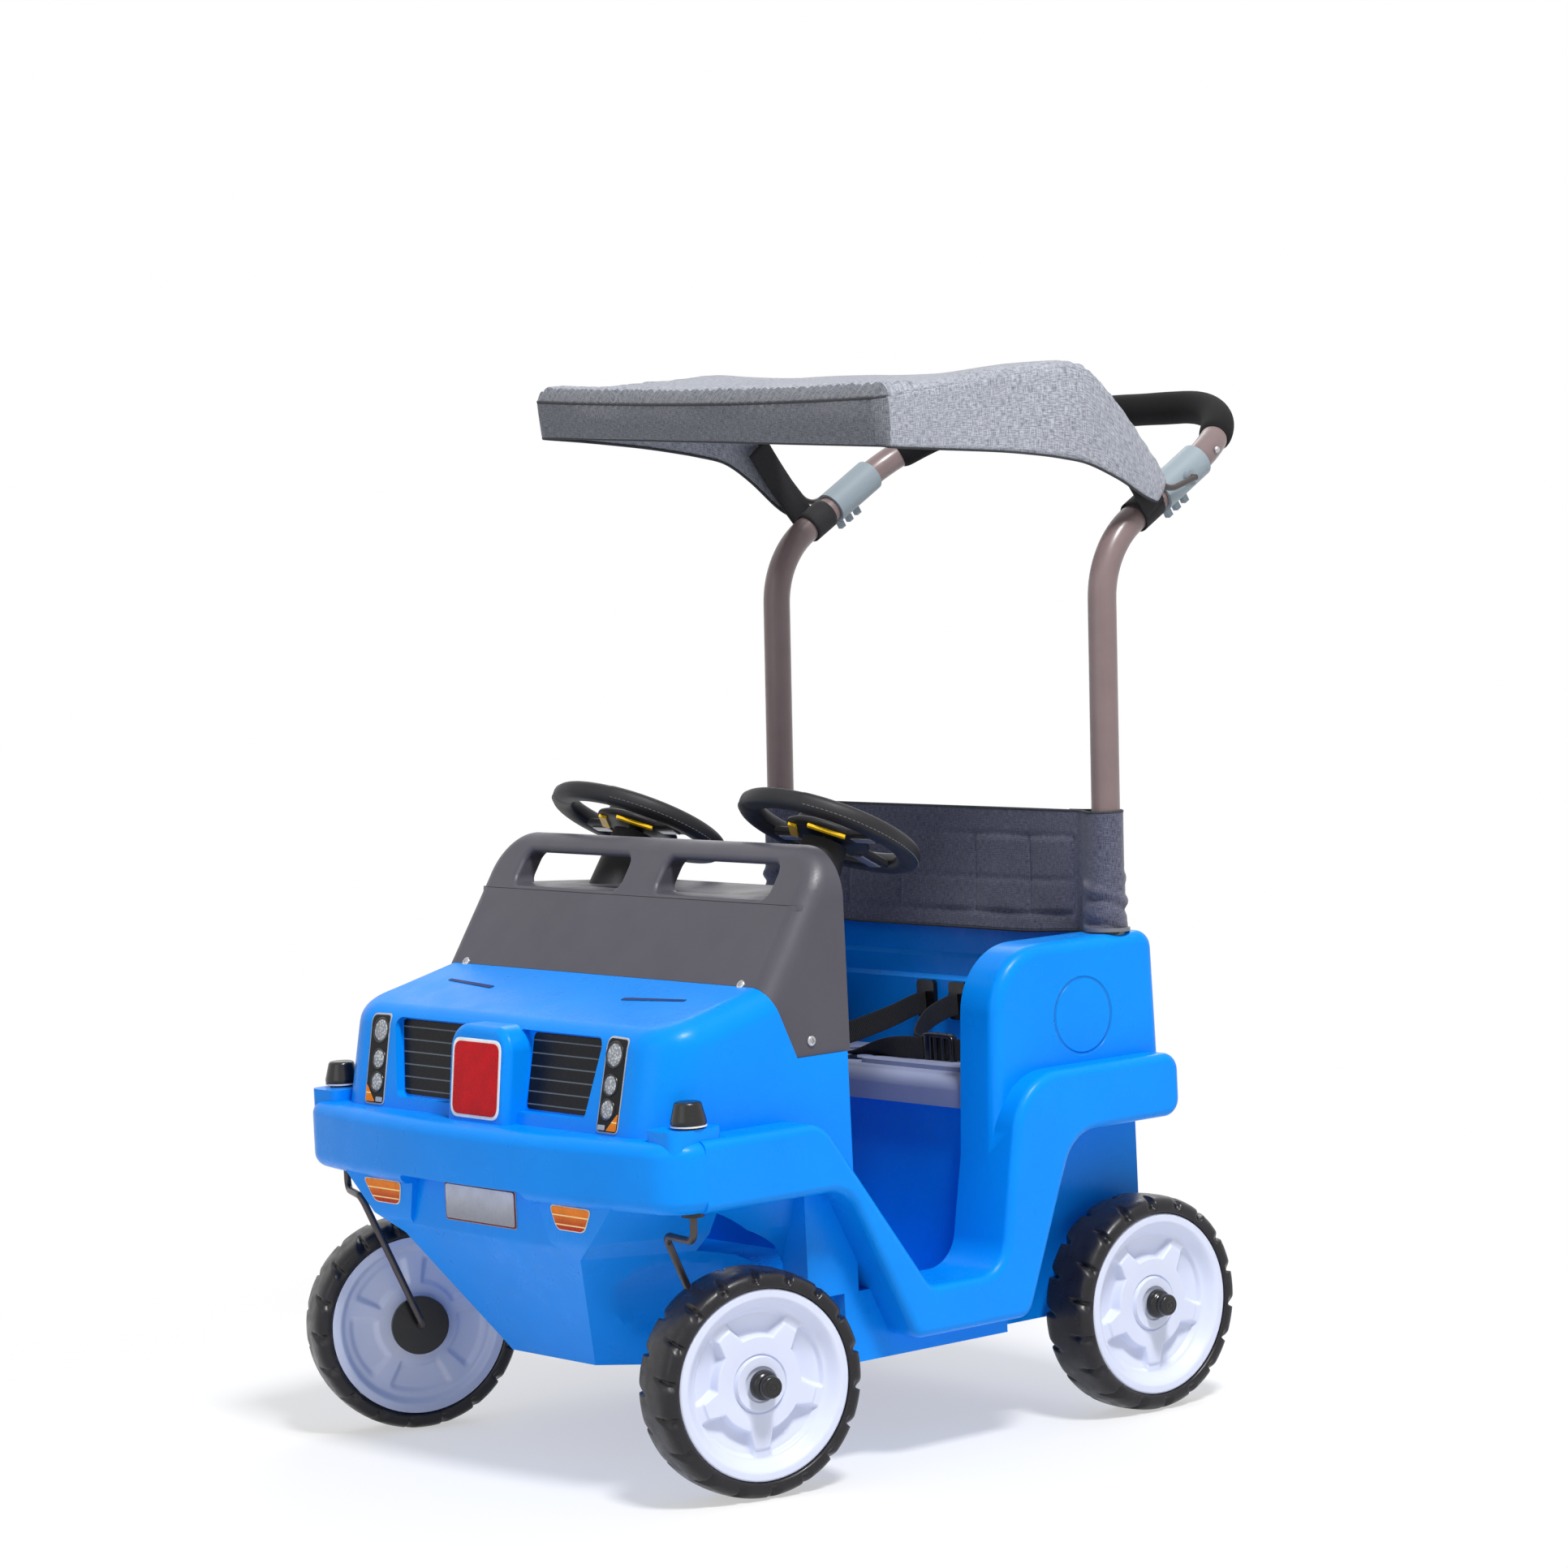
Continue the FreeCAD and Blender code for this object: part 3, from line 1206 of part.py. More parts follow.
def build_parts():
    """All nodes by name."""
    parts = {"body_shell": body_shell(), "dash_panel": dash_panel(), "seat_panel": seat_panel(),
             "belt_anchors": belt_anchors(), "backrest_sling": backrest_sling(), "handle_tube": handle_tube(),
             "foam_grip": foam_grip(), "canopy_bow": canopy_bow(), "canopy_fabric": canopy_fabric()}
    upright = tube(upright_path(), tube_radius, tube_wall)
    clamp_left = clamp()
    rear_bore = axle_radius + shaft_clearance
    front_bore = rod_radius + shaft_clearance
    axle_half = rear_wheel_x + cap_seat() + cap_length - 2 * washer
    parts["rear_axle"] = Part.makeCylinder(axle_radius, 2 * axle_half, V(-axle_half, axle_y, axle_z), X_AXIS)
    caps, washers = [], []
    for name, side in SIDES.items():
        parts["tube_socket_" + name] = tube_socket(side)
        parts["upright_tube_" + name] = upright if side > 0 else upright.mirror(V(), X_AXIS)
        parts["canopy_clamp_" + name] = clamp_left if side > 0 else clamp_left.mirror(V(), X_AXIS)
        parts["canopy_strap_" + name] = canopy_strap(side)
        parts["steering_rim_" + name] = steering_rim(side)
        parts["steering_hub_" + name] = steering_hub(side)
        parts["steering_inserts_" + name] = steering_inserts(side)
        parts["steering_column_" + name] = steering_column(side)
        parts["steering_boot_" + name] = steering_boot(side)
        parts["lap_belt_" + name] = lap_belt(side)
        parts["belt_buckle_" + name] = belt_buckle(side)
        parts["caster_rod_" + name] = caster_rod(name)
        parts["caster_nut_" + name] = caster_nut(name)
        parts["caster_collar_" + name] = stem_collar(name)
        parts["pivot_bush_" + name] = pivot_bush(name)
        parts["pivot_washer_" + name] = pivot_washer_part(name)
        front = wheel_frame(side, caster_centre(name), headings[name])
        rear = wheel_frame(side, V(side * rear_wheel_x, axle_y, axle_z), 0)
        parts.update(hub_set("front_" + name, front, front_bore))
        parts.update(hub_set("rear_" + name, rear, rear_bore))
        for node, solid in (("front_inner_disc_", inner_disc_part(front_bore)),
                            ("front_axle_cap_", axle_cap(front_bore)),
                            ("front_axle_washer_", axle_washer(front_bore))):
            solid.Placement = front.multiply(solid.Placement)
            parts[node + name] = solid
        for group, solid in ((caps, axle_cap(rear_bore)), (washers, axle_washer(rear_bore))):
            solid.Placement = rear.multiply(solid.Placement)
            group.append(solid)
    parts["rear_axle_caps"] = Part.makeCompound(caps)
    parts["rear_axle_washers"] = Part.makeCompound(washers)
    return parts


os.makedirs("parts", exist_ok=True)
for node, shape in build_parts().items():
    shape.exportStep("parts/" + node + ".step")
    print(node, len(shape.Solids), round(shape.Volume / 1000, 1), shape.isValid())
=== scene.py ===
"""Dressed scene of a two-seat push car with a canopy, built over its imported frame.

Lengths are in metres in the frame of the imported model: X across, Y from front to back, Z up.
"""
import json
import logging
import math
from dataclasses import dataclass
from enum import Enum
from typing import Any, Optional, Sequence

import bmesh
import bpy
import numpy as np
from mathutils import Matrix, Vector
from mathutils.bvhtree import BVHTree

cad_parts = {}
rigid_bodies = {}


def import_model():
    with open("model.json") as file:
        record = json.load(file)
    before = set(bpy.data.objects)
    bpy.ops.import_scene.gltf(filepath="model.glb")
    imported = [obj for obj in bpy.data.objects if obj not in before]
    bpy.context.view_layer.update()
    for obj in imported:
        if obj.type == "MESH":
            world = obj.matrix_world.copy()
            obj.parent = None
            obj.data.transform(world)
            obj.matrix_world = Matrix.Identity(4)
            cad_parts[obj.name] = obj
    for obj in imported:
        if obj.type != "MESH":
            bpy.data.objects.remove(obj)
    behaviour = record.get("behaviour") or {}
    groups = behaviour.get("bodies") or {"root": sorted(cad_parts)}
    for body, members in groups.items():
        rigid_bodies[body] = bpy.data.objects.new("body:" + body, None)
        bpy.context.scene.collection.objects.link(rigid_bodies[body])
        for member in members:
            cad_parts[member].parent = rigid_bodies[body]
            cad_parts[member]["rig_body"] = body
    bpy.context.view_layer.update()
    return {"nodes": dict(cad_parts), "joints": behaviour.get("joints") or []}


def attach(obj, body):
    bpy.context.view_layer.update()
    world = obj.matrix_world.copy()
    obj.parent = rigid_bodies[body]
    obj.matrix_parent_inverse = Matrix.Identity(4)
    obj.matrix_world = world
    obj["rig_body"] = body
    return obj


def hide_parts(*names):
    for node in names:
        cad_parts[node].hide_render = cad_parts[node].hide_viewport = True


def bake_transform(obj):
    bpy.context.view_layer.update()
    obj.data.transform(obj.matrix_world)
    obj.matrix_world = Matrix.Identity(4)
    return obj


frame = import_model()
LOG = logging.getLogger("push_car")
MM = 0.001
Array = np.ndarray
Colour = tuple[float, float, float]
Spot = tuple[float, float, float]
Line = tuple[tuple[float, ...], ...]
TURN = 2.0 * math.pi
ACROSS = np.array([1.0, 0.0, 0.0])
UP = np.array([0.0, 0.0, 1.0])
# The handle's upper run rises backwards at this angle, and the canopy's clamps sit on it.
HANDLE_LEAN = math.radians(31)
HANDLE_SLOPE = np.array([0.0, math.cos(HANDLE_LEAN), math.sin(HANDLE_LEAN)])
CLAMP = np.array([0.0, 0.342425, 1.033139])
# Scale of the wave node at which one band is a metre long.
WAVE = 0.314


class Side(Enum):
    """The car's two sides, with the sign of X on each."""

    LEFT = 1
    RIGHT = -1

    @property
    def word(self) -> str:
        """Name of the side as the nodes spell it."""
        return self.name.lower()

    @property
    def mirror(self) -> Array:
        """Factors that carry a point of the left side to this side."""
        return np.array([self.value, 1, 1])


def srgb(red: int, green: int, blue: int) -> Colour:
    """Linear colour of a screen colour given as three bytes."""
    value = np.array([red, green, blue]) / 255.0
    linear = np.where(value <= 0.04045, value / 12.92, ((value + 0.055) / 1.055) ** 2.4)
    return tuple(float(v) for v in linear)


def ease(low: float, high: float, value: Array) -> Array:
    """Smooth step: 0 below low, 1 above high, 3t^2 - 2t^3 between.

    Args:
        low: value where the step starts.
        high: value where it ends; may lie below low for a falling step.
        value: where to read it.

    Returns:
        The step at each value.
    """
    t = np.clip((value - low) / (high - low), 0.0, 1.0)
    return t * t * (3.0 - 2.0 * t)


def unit(vector: Sequence[float]) -> Array:
    """Vector scaled to length one."""
    array = np.asarray(vector, dtype=float)
    return array / np.linalg.norm(array)


def distances(points: Array) -> Array:
    """Distance along a broken line at each of its corners."""
    return np.concatenate(([0.0], np.cumsum(np.linalg.norm(np.diff(points, axis=0), axis=1))))


def spaced(points: Array, count: int) -> Array:
    """Points at even steps along a broken line.

    Args:
        points: corners of the line, one per row.
        count: how many points to return.

    Returns:
        Points interpolated linearly by distance along the line.
    """
    run = distances(points)
    at = np.linspace(0.0, run[-1], count)
    return np.stack([np.interp(at, run, points[:, k]) for k in range(points.shape[1])], axis=1)


def flowing(points: Sequence[Sequence[float]], count: int) -> Array:
    """Smooth line through points: a Catmull-Rom cubic in each gap, then even steps.

    Args:
        points: points that the line passes through.
        count: how many points to return.

    Returns:
        Points on the line.
    """
    p = np.asarray(points, dtype=float)
    p = np.vstack((2 * p[0] - p[1], p, 2 * p[-1] - p[-2]))
    t = np.linspace(0.0, 1.0, 24, endpoint=False)[:, None]
    runs = []
    for i in range(1, len(p) - 2):
        a, b, c, d = p[i - 1], p[i], p[i + 1], p[i + 2]
        runs.append(0.5 * (2 * b + (c - a) * t + (2 * a - 5 * b + 4 * c - d) * t ** 2
                           + (3 * b - a - 3 * c + d) * t ** 3))
    return spaced(np.vstack(runs + [p[-2:-1]]), count)


def bent(points: Sequence[Sequence[float]], bend: float, step: float = 0.006) -> Array:
    """Straight runs joined by arcs, as a bent tube has.

    Args:
        points: corners of the route.
        bend: radius of every arc.
        step: distance between the returned points on an arc.

    Returns:
        Points along the route.
    """
    p = np.asarray(points, dtype=float)
    route = [p[:1]]
    for i in range(1, len(p) - 1):
        back, ahead = unit(p[i - 1] - p[i]), unit(p[i + 1] - p[i])
        half = math.acos(float(np.clip(back @ ahead, -1, 1))) / 2
        centre = p[i] + unit(back + ahead) * bend / math.sin(half)
        first = p[i] + back * bend / math.tan(half) - centre
        second = p[i] + ahead * bend / math.tan(half) - centre
        sweep = math.pi - 2 * half
        t = np.linspace(0.0, 1.0, max(8, int(sweep * bend / step)))[:, None]
        route.append(centre + (np.sin((1 - t) * sweep) * first + np.sin(t * sweep) * second) / math.sin(sweep))
    return np.vstack(route + [p[-1:]])


@dataclass
class Surface:
    """Points, quads and a flat map in metres of one or more lattices."""

    points: Array
    quads: Array
    flat: Array

    @staticmethod
    def lattice(points: Array, flat: Optional[Array] = None) -> "Surface":
        """Surface of a grid of points.

        Args:
            points: rows by columns by three.
            flat: map of the grid; by default the distances along its rows and columns.

        Returns:
            The surface, with quads that face along row step cross column step.
        """
        rows, columns = points.shape[:2]
        index = np.arange(rows * columns).reshape(rows, columns)
        quads = np.stack((index[:-1, :-1], index[1:, :-1], index[1:, 1:], index[:-1, 1:]), axis=-1)
        if flat is None:
            down = np.linalg.norm(np.diff(points, axis=0), axis=2).mean(axis=1)
            over = np.linalg.norm(np.diff(points, axis=1), axis=2).mean(axis=0)
            flat = np.stack(np.meshgrid(np.concatenate(([0.0], np.cumsum(over))),
                                        np.concatenate(([0.0], np.cumsum(down)))), axis=-1)
        return Surface(points.reshape(-1, 3), quads.reshape(-1, 4), flat.reshape(-1, 2))

    @staticmethod
    def joined(*parts: "Surface") -> "Surface":
        """Several surfaces as one."""
        offsets = np.cumsum([0] + [len(p.points) for p in parts[:-1]])
        return Surface(np.vstack([p.points for p in parts]),
                       np.vstack([p.quads + o for p, o in zip(parts, offsets)]),
                       np.vstack([p.flat for p in parts]))

    def mirrored(self) -> "Surface":
        """The surface reflected across the middle plane, with its faces turned round."""
        return Surface(self.points * np.array([-1.0, 1.0, 1.0]), self.quads[:, ::-1].copy(), self.flat)


def carried(path: Array, section: Array, up: Sequence[float], capped: bool = True) -> Surface:
    """A closed section carried along a path: path + a side + b lift, side = along x up.

    Args:
        path: points of the path.
        section: (a, b) pairs of the section, or one such list per path point.
        up: direction that stays above the path.
        capped: whether the ends close to their middle.

    Returns:
        The swept surface.
    """
    along = np.gradient(path, axis=0)
    along /= np.linalg.norm(along, axis=1)[:, None]
    side = np.cross(along, np.asarray(up, dtype=float))
    side /= np.linalg.norm(side, axis=1)[:, None]
    lift = np.cross(side, along)
    shape = np.broadcast_to(section, (len(path),) + section.shape[-2:])
    shape = np.concatenate((shape, shape[:, :1]), axis=1)
    grid = path[:, None] + shape[..., :1] * side[:, None] + shape[..., 1:] * lift[:, None]
    if capped:
        ends = [np.broadcast_to(path[k], (1, grid.shape[1], 3)) for k in (0, -1)]
        grid = np.concatenate((ends[0], grid, ends[1]), axis=0)
    return Surface.lattice(grid)


def round_section(radius: float, count: int = 24) -> Array:
    """Circle as (a, b) pairs."""
    t = np.linspace(0.0, TURN, count, endpoint=False)
    return radius * np.stack((np.cos(t), np.sin(t)), axis=1)


def box_section(width: float, depth: float, power: float = 5.0, count: int = 32) -> Array:
    """Soft-cornered rectangle |a/w|^n + |b/d|^n = 1 as (a, b) pairs.

    Args:
        width: full width along a.
        depth: full depth along b.
        power: n; larger is squarer.
        count: points round it.

    Returns:
        The section.
    """
    t = np.linspace(0.0, TURN, count, endpoint=False)
    c, s = np.cos(t), np.sin(t)
    reach = (np.abs(c) ** power + np.abs(s) ** power) ** (-1.0 / power)
    return np.stack((c * reach * width / 2, s * reach * depth / 2), axis=1)


def turned(profile: Sequence[Sequence[float]], base: Array, axis: Array, count: int = 48) -> Surface:
    """A (radius, height) profile turned about an axis.

    Args:
        profile: pairs from one pole or rim to the other.
        base: point where the height is zero.
        axis: unit direction of the height.
        count: steps round.

    Returns:
        The turned surface.
    """
    p = np.asarray(profile, dtype=float)
    guide = np.array([0.0, 0.0, 1.0]) if abs(axis[2]) < 0.9 else np.array([1.0, 0.0, 0.0])
    one = unit(np.cross(guide, axis))
    two = np.cross(axis, one)
    t = np.linspace(0.0, TURN, count + 1)
    spin = np.cos(t)[:, None] * one + np.sin(t)[:, None] * two
    grid = base + p[:, None, 1:] * axis + p[:, None, :1] * spin[None]
    return Surface.lattice(grid)


def in_mm(profile: Sequence[Sequence[float]], raised: float = 0.0) -> Array:
    """Profile in metres from (radius, height) pairs in millimetres, raised by some of them."""
    return (np.asarray(profile, dtype=float) + np.array([0.0, raised])) * MM


def merge(mesh: bpy.types.Mesh, near: float, thin: float, outwards: bool = False) -> None:
    """Merge a mesh's doubles and drop its slivers.

    Args:
        mesh: the mesh, changed in place.
        near: distance within which points are one.
        thin: length below which an edge is dropped.
        outwards: whether the faces of a closed shell are turned outwards.
    """
    work = bmesh.new()
    work.from_mesh(mesh)
    bmesh.ops.remove_doubles(work, verts=work.verts, dist=near)
    bmesh.ops.dissolve_degenerate(work, edges=work.edges, dist=thin)
    if outwards:
        bmesh.ops.recalc_face_normals(work, faces=work.faces)
    work.to_mesh(mesh)
    work.free()


def linked(mesh: bpy.types.Mesh, name: str, material: bpy.types.Material, crease: float) -> bpy.types.Object:
    """A merged mesh as a smooth object of the scene.

    Args:
        mesh: the mesh.
        name: name of the object.
        material: finish.
        crease: angle in degrees above which an edge stays sharp; 0 leaves all smooth.

    Returns:
        The object.
    """
    mesh.polygons.foreach_set("use_smooth", np.ones(len(mesh.polygons), dtype=bool))
    if crease:
        mesh.set_sharp_from_angle(angle=math.radians(crease))
    mesh.materials.append(material)
    obj = bpy.data.objects.new(name, mesh)
    bpy.context.scene.collection.objects.link(obj)
    return obj


def piece(name: str, surface: Surface, material: bpy.types.Material, shell: bool = True,
          crease: float = 0.0) -> bpy.types.Object:
    """A mesh object of a surface, with its seams and poles merged.

    Args:
        name: name of the object.
        surface: points, quads and map.
        material: finish.
        shell: whether it is closed, so that its faces are turned outwards.
        crease: angle in degrees above which an edge stays sharp; 0 leaves all smooth.

    Returns:
        The object, linked to the scene.
    """
    mesh = bpy.data.meshes.new(name)
    mesh.from_pydata(surface.points.tolist(), [], surface.quads.tolist())
    corner = np.empty(len(mesh.loops), dtype=np.int32)
    mesh.loops.foreach_get("vertex_index", corner)
    layer = mesh.uv_layers.new(name="UVMap")
    layer.data.foreach_set("uv", surface.flat[corner].astype(np.float32).ravel())
    merge(mesh, 2e-6, 1e-7, outwards=shell)
    return linked(mesh, name, material, crease)


def moulded(node: str, material: bpy.types.Material, crease: float = 38.0) -> bpy.types.Object:
    """A merged copy of a rigid node with even, soft shading.

    Args:
        node: name of the node.
        material: finish.
        crease: angle in degrees above which an edge stays sharp.

    Returns:
        The copy, at the node's place.
    """
    source = frame["nodes"][node].data
    points = np.empty(len(source.vertices) * 3)
    source.vertices.foreach_get("co", points)
    corner = np.empty(len(source.loops), dtype=np.int32)
    source.loops.foreach_get("vertex_index", corner)
    name = node + "_dressed"
    mesh = bpy.data.meshes.new(name)
    mesh.from_pydata(points.reshape(-1, 3).tolist(), [], corner.reshape(-1, 3).tolist())
    merge(mesh, 4e-6, 1e-6)
    obj = linked(mesh, name, material, crease)
    even = obj.modifiers.new("even_faces", "WEIGHTED_NORMAL")
    even.keep_sharp = True
    even.weight = 80
    return obj


def fit(obj: bpy.types.Object, body: str, slot: str, *nodes: str) -> bpy.types.Object:
    """Put a finished piece on a body, and hide the nodes that it stands for.

    Args:
        obj: the piece.
        body: body that carries it.
        slot: not used.
        nodes: nodes that it replaces.

    Returns:
        The same piece.
    """
    if nodes:
        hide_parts(*nodes)
    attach(obj, body)
    LOG.info("%s rides on %s", obj.name, body)
    return obj


def carrier(node: str) -> str:
    """Body that a node rides on."""
    return frame["nodes"][node]["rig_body"]


def dress(node: str, material: bpy.types.Material, slot: str) -> bpy.types.Object:
    """A merged copy of a rigid node that stands for it on its own body."""
    return fit(moulded(node, material), carrier(node), slot, node)


def turn_to(obj: bpy.types.Object, way: Sequence[float], index: int = 0) -> None:
    """Turn an open sheet's faces round if the one at index looks away from a direction."""
    if obj.data.polygons[index].normal.dot(Vector(way)) < 0:
        obj.data.flip_normals()


def rays(obj: bpy.types.Object) -> BVHTree:
    """Tree of an object's faces for ray tests."""
    mesh = obj.data
    return BVHTree.FromPolygons([v.co.copy() for v in mesh.vertices], [tuple(f.vertices) for f in mesh.polygons])


def thicken(obj: bpy.types.Object, wall: float, offset: float = -1.0) -> None:
    """Give an open sheet its wall, on the back of its faces unless offset says else."""
    wall_mod = obj.modifiers.new("wall", "SOLIDIFY")
    wall_mod.thickness = wall
    wall_mod.offset = offset


class Tree:
    """A material's nodes, with short calls to add and join them."""

    def __init__(self, name: str) -> None:
        """Start an empty material with one surface shader."""
        self.material = bpy.data.materials.new(name)
        self.material.use_nodes = True
        self.nodes = self.material.node_tree.nodes
        self.links = self.material.node_tree.links
        self.shader = self.nodes["Principled BSDF"]
        self.coords = self.nodes.new("ShaderNodeTexCoord")

    def add(self, kind: str, values: dict[Any, Any], **settings: Any) -> bpy.types.Node:
        """A new node.

        Args:
            kind: node type.
            values: socket name or number to a value or to a socket that feeds it.
            settings: properties of the node.

        Returns:
            The node.
        """
        node = self.nodes.new(kind)
        for key, value in settings.items():
            setattr(node, key, value)
        for key, value in values.items():
            if isinstance(value, bpy.types.NodeSocket):
                self.links.new(value, node.inputs[key])
            else:
                node.inputs[key].default_value = value
        return node

    def place(self, scale: Sequence[float] = (1, 1, 1), flat: bool = False) -> bpy.types.NodeSocket:
        """Object coordinates, or the flat map, stretched by scale."""
        source = self.coords.outputs["UV" if flat else "Object"]
        return self.add("ShaderNodeMapping", {"Vector": source, "Scale": tuple(scale)}).outputs[0]

    def noise(self, size: float, detail: float = 2.0, rough: float = 0.5,
              vector: Optional[bpy.types.NodeSocket] = None) -> bpy.types.NodeSocket:
        """Cloudy noise whose patches are about size metres across."""
        where = self.coords.outputs["Object"] if vector is None else vector
        return self.add("ShaderNodeTexNoise", {"Vector": where, "Scale": 1.0 / size, "Detail": detail,
                                               "Roughness": rough}).outputs[0]

    def span(self, value: bpy.types.NodeSocket, low: float, high: float, first: float = 0.0,
             last: float = 1.0) -> bpy.types.NodeSocket:
        """Value carried from low..high to first..last with a soft step and held at the ends."""
        return self.add("ShaderNodeMapRange", {"Value": value, "From Min": low, "From Max": high, "To Min": first,
                                               "To Max": last}, interpolation_type="SMOOTHSTEP").outputs[0]

    def maths(self, operation: str, *values: Any) -> bpy.types.NodeSocket:
        """Result of one sum on one or two values."""
        return self.add("ShaderNodeMath", dict(enumerate(values)), operation=operation).outputs[0]

    def mix(self, share: bpy.types.NodeSocket, first: Any, second: Any) -> bpy.types.NodeSocket:
        """Colour between first and second by share."""
        colours = [c if isinstance(c, bpy.types.NodeSocket) else (*c, 1.0) for c in (first, second)]
        return self.add("ShaderNodeMix", {0: share, 6: colours[0], 7: colours[1]}, data_type="RGBA").outputs[2]

    def bump(self, height: bpy.types.NodeSocket, strength: float, depth: float,
             under: Optional[bpy.types.NodeSocket] = None) -> bpy.types.NodeSocket:
        """Surface direction raised by a height of depth metres, over another bump if given."""
        values = {"Height": height, "Strength": strength, "Distance": depth}
        if under is not None:
            values["Normal"] = under
        return self.add("ShaderNodeBump", values).outputs[0]

    def feed(self, **sockets: Any) -> None:
        """Join or set shader sockets, with spaces in their names written as underscores."""
        for key, value in sockets.items():
            socket = self.shader.inputs[key.replace("_", " ")]
            if isinstance(value, bpy.types.NodeSocket):
                self.links.new(value, socket)
            else:
                socket.default_value = value


def shade(colour: Colour, share: float) -> Colour:
    """Colour made lighter or darker by a share."""
    return tuple(min(1.0, c * share) for c in colour)


@dataclass(frozen=True)
class Moulding:
    """Moulded plastic: a clouded colour, a fine moulded grain and a faintly uneven gloss."""

    name: str
    colour: Colour
    roughness: float = 0.38
    cloud: float = 0.06
    patch: float = 0.16
    grain: float = 0.0012
    relief: float = 0.12
    specular: float = 0.3

    def tree(self) -> Tree:
        """Nodes of the finish."""
        tree = Tree(self.name)
        cloud = tree.span(tree.noise(self.patch, 3.0), 0.3, 0.7)
        colour = tree.mix(cloud, shade(self.colour, 1 - self.cloud), shade(self.colour, 1 + self.cloud))
        gloss = tree.span(tree.noise(0.035, 3.0), 0.25, 0.75, self.roughness - 0.05, self.roughness + 0.06)
        grain = tree.noise(self.grain, 2.0)
        tree.feed(Base_Color=colour, Roughness=gloss, Specular_IOR_Level=self.specular,
                  Normal=tree.bump(grain, self.relief, 0.0004))
        return tree

    def material(self) -> bpy.types.Material:
        """The finish as a material."""
        return self.tree().material


@dataclass(frozen=True)
class BodyMoulding(Moulding):
    """The body's plastic, with a round outline pressed into each quarter panel, its groove darkened as painted shade.
    """

    ring_y: float = 0.139
    ring_z: float = 0.448
    ring_radius: float = 0.042
    ring_line: float = 0.0022
    ring_shade: float = 0.76
    panel_x: tuple[float, float] = (0.300, 0.306)

    def material(self) -> bpy.types.Material:
        """The finish: the line is where the distance from the ring's middle equals its radius."""
        tree = self.tree()
        parts = tree.add("ShaderNodeSeparateXYZ", {0: tree.coords.outputs["Object"]}).outputs
        dy = tree.maths("SUBTRACT", parts[1], self.ring_y)
        dz = tree.maths("SUBTRACT", parts[2], self.ring_z)
        away = tree.maths("SQRT", tree.maths("ADD", tree.maths("MULTIPLY", dy, dy), tree.maths("MULTIPLY", dz, dz)))
        off = tree.maths("ABSOLUTE", tree.maths("SUBTRACT", away, self.ring_radius))
        line = tree.span(off, self.ring_line, self.ring_line * 0.3)
        line = tree.maths("MULTIPLY", line, tree.span(tree.maths("ABSOLUTE", parts[0]), *self.panel_x))
        base = tree.shader.inputs["Base Color"].links[0].from_socket
        normal = tree.shader.inputs["Normal"].links[0].from_socket
        groove = tree.maths("SUBTRACT", 1.0, line)
        # Painted shade: the groove's line is darkened to stand for the shade in it, over its real bump.
        tree.feed(Base_Color=tree.mix(line, base, shade(self.colour, self.ring_shade)),
                  Normal=tree.bump(groove, 0.8, 0.0015, normal))
        return tree.material


@dataclass(frozen=True)
class Lacquer:
    """Painted tube: an even colour with orange-peel and a clear coat."""

    name: str
    colour: Colour
    metal: float = 0.0
    roughness: float = 0.34

    def material(self) -> bpy.types.Material:
        """The finish as a material."""
        tree = Tree(self.name)
        cloud = tree.span(tree.noise(0.05, 3.0), 0.3, 0.7)
        colour = tree.mix(cloud, shade(self.colour, 0.95), shade(self.colour, 1.05))
        speck = tree.span(tree.noise(0.0022, 3.0, 0.7), 0.66, 0.74)
        colour = tree.mix(speck, colour, shade(self.colour, 0.72))
        peel = tree.noise(0.003, 1.0)
        gloss = tree.span(tree.noise(0.02, 3.0), 0.3, 0.7, self.roughness - 0.06, self.roughness + 0.06)
        tree.feed(Base_Color=colour, Roughness=gloss, Metallic=self.metal, Coat_Weight=0.15, Coat_Roughness=0.18,
                  Normal=tree.bump(peel, 0.08, 0.0003))
        return tree.material


@dataclass(frozen=True)
class Sponge:
    """Closed-cell foam: a dark matt colour with small open pores."""

    name: str
    colour: Colour

    def material(self) -> bpy.types.Material:
        """The finish as a material."""
        tree = Tree(self.name)
        cells = tree.add("ShaderNodeTexVoronoi", {"Vector": tree.coords.outputs["Object"], "Scale": 520.0}).outputs[0]
        pores = tree.span(cells, 0.12, 0.5)
        colour = tree.mix(pores, shade(self.colour, 0.55), shade(self.colour, 1.15))
        tree.feed(Base_Color=colour, Roughness=0.92, Specular_IOR_Level=0.25,
                  Normal=tree.bump(pores, 0.35, 0.0006))
        return tree.material


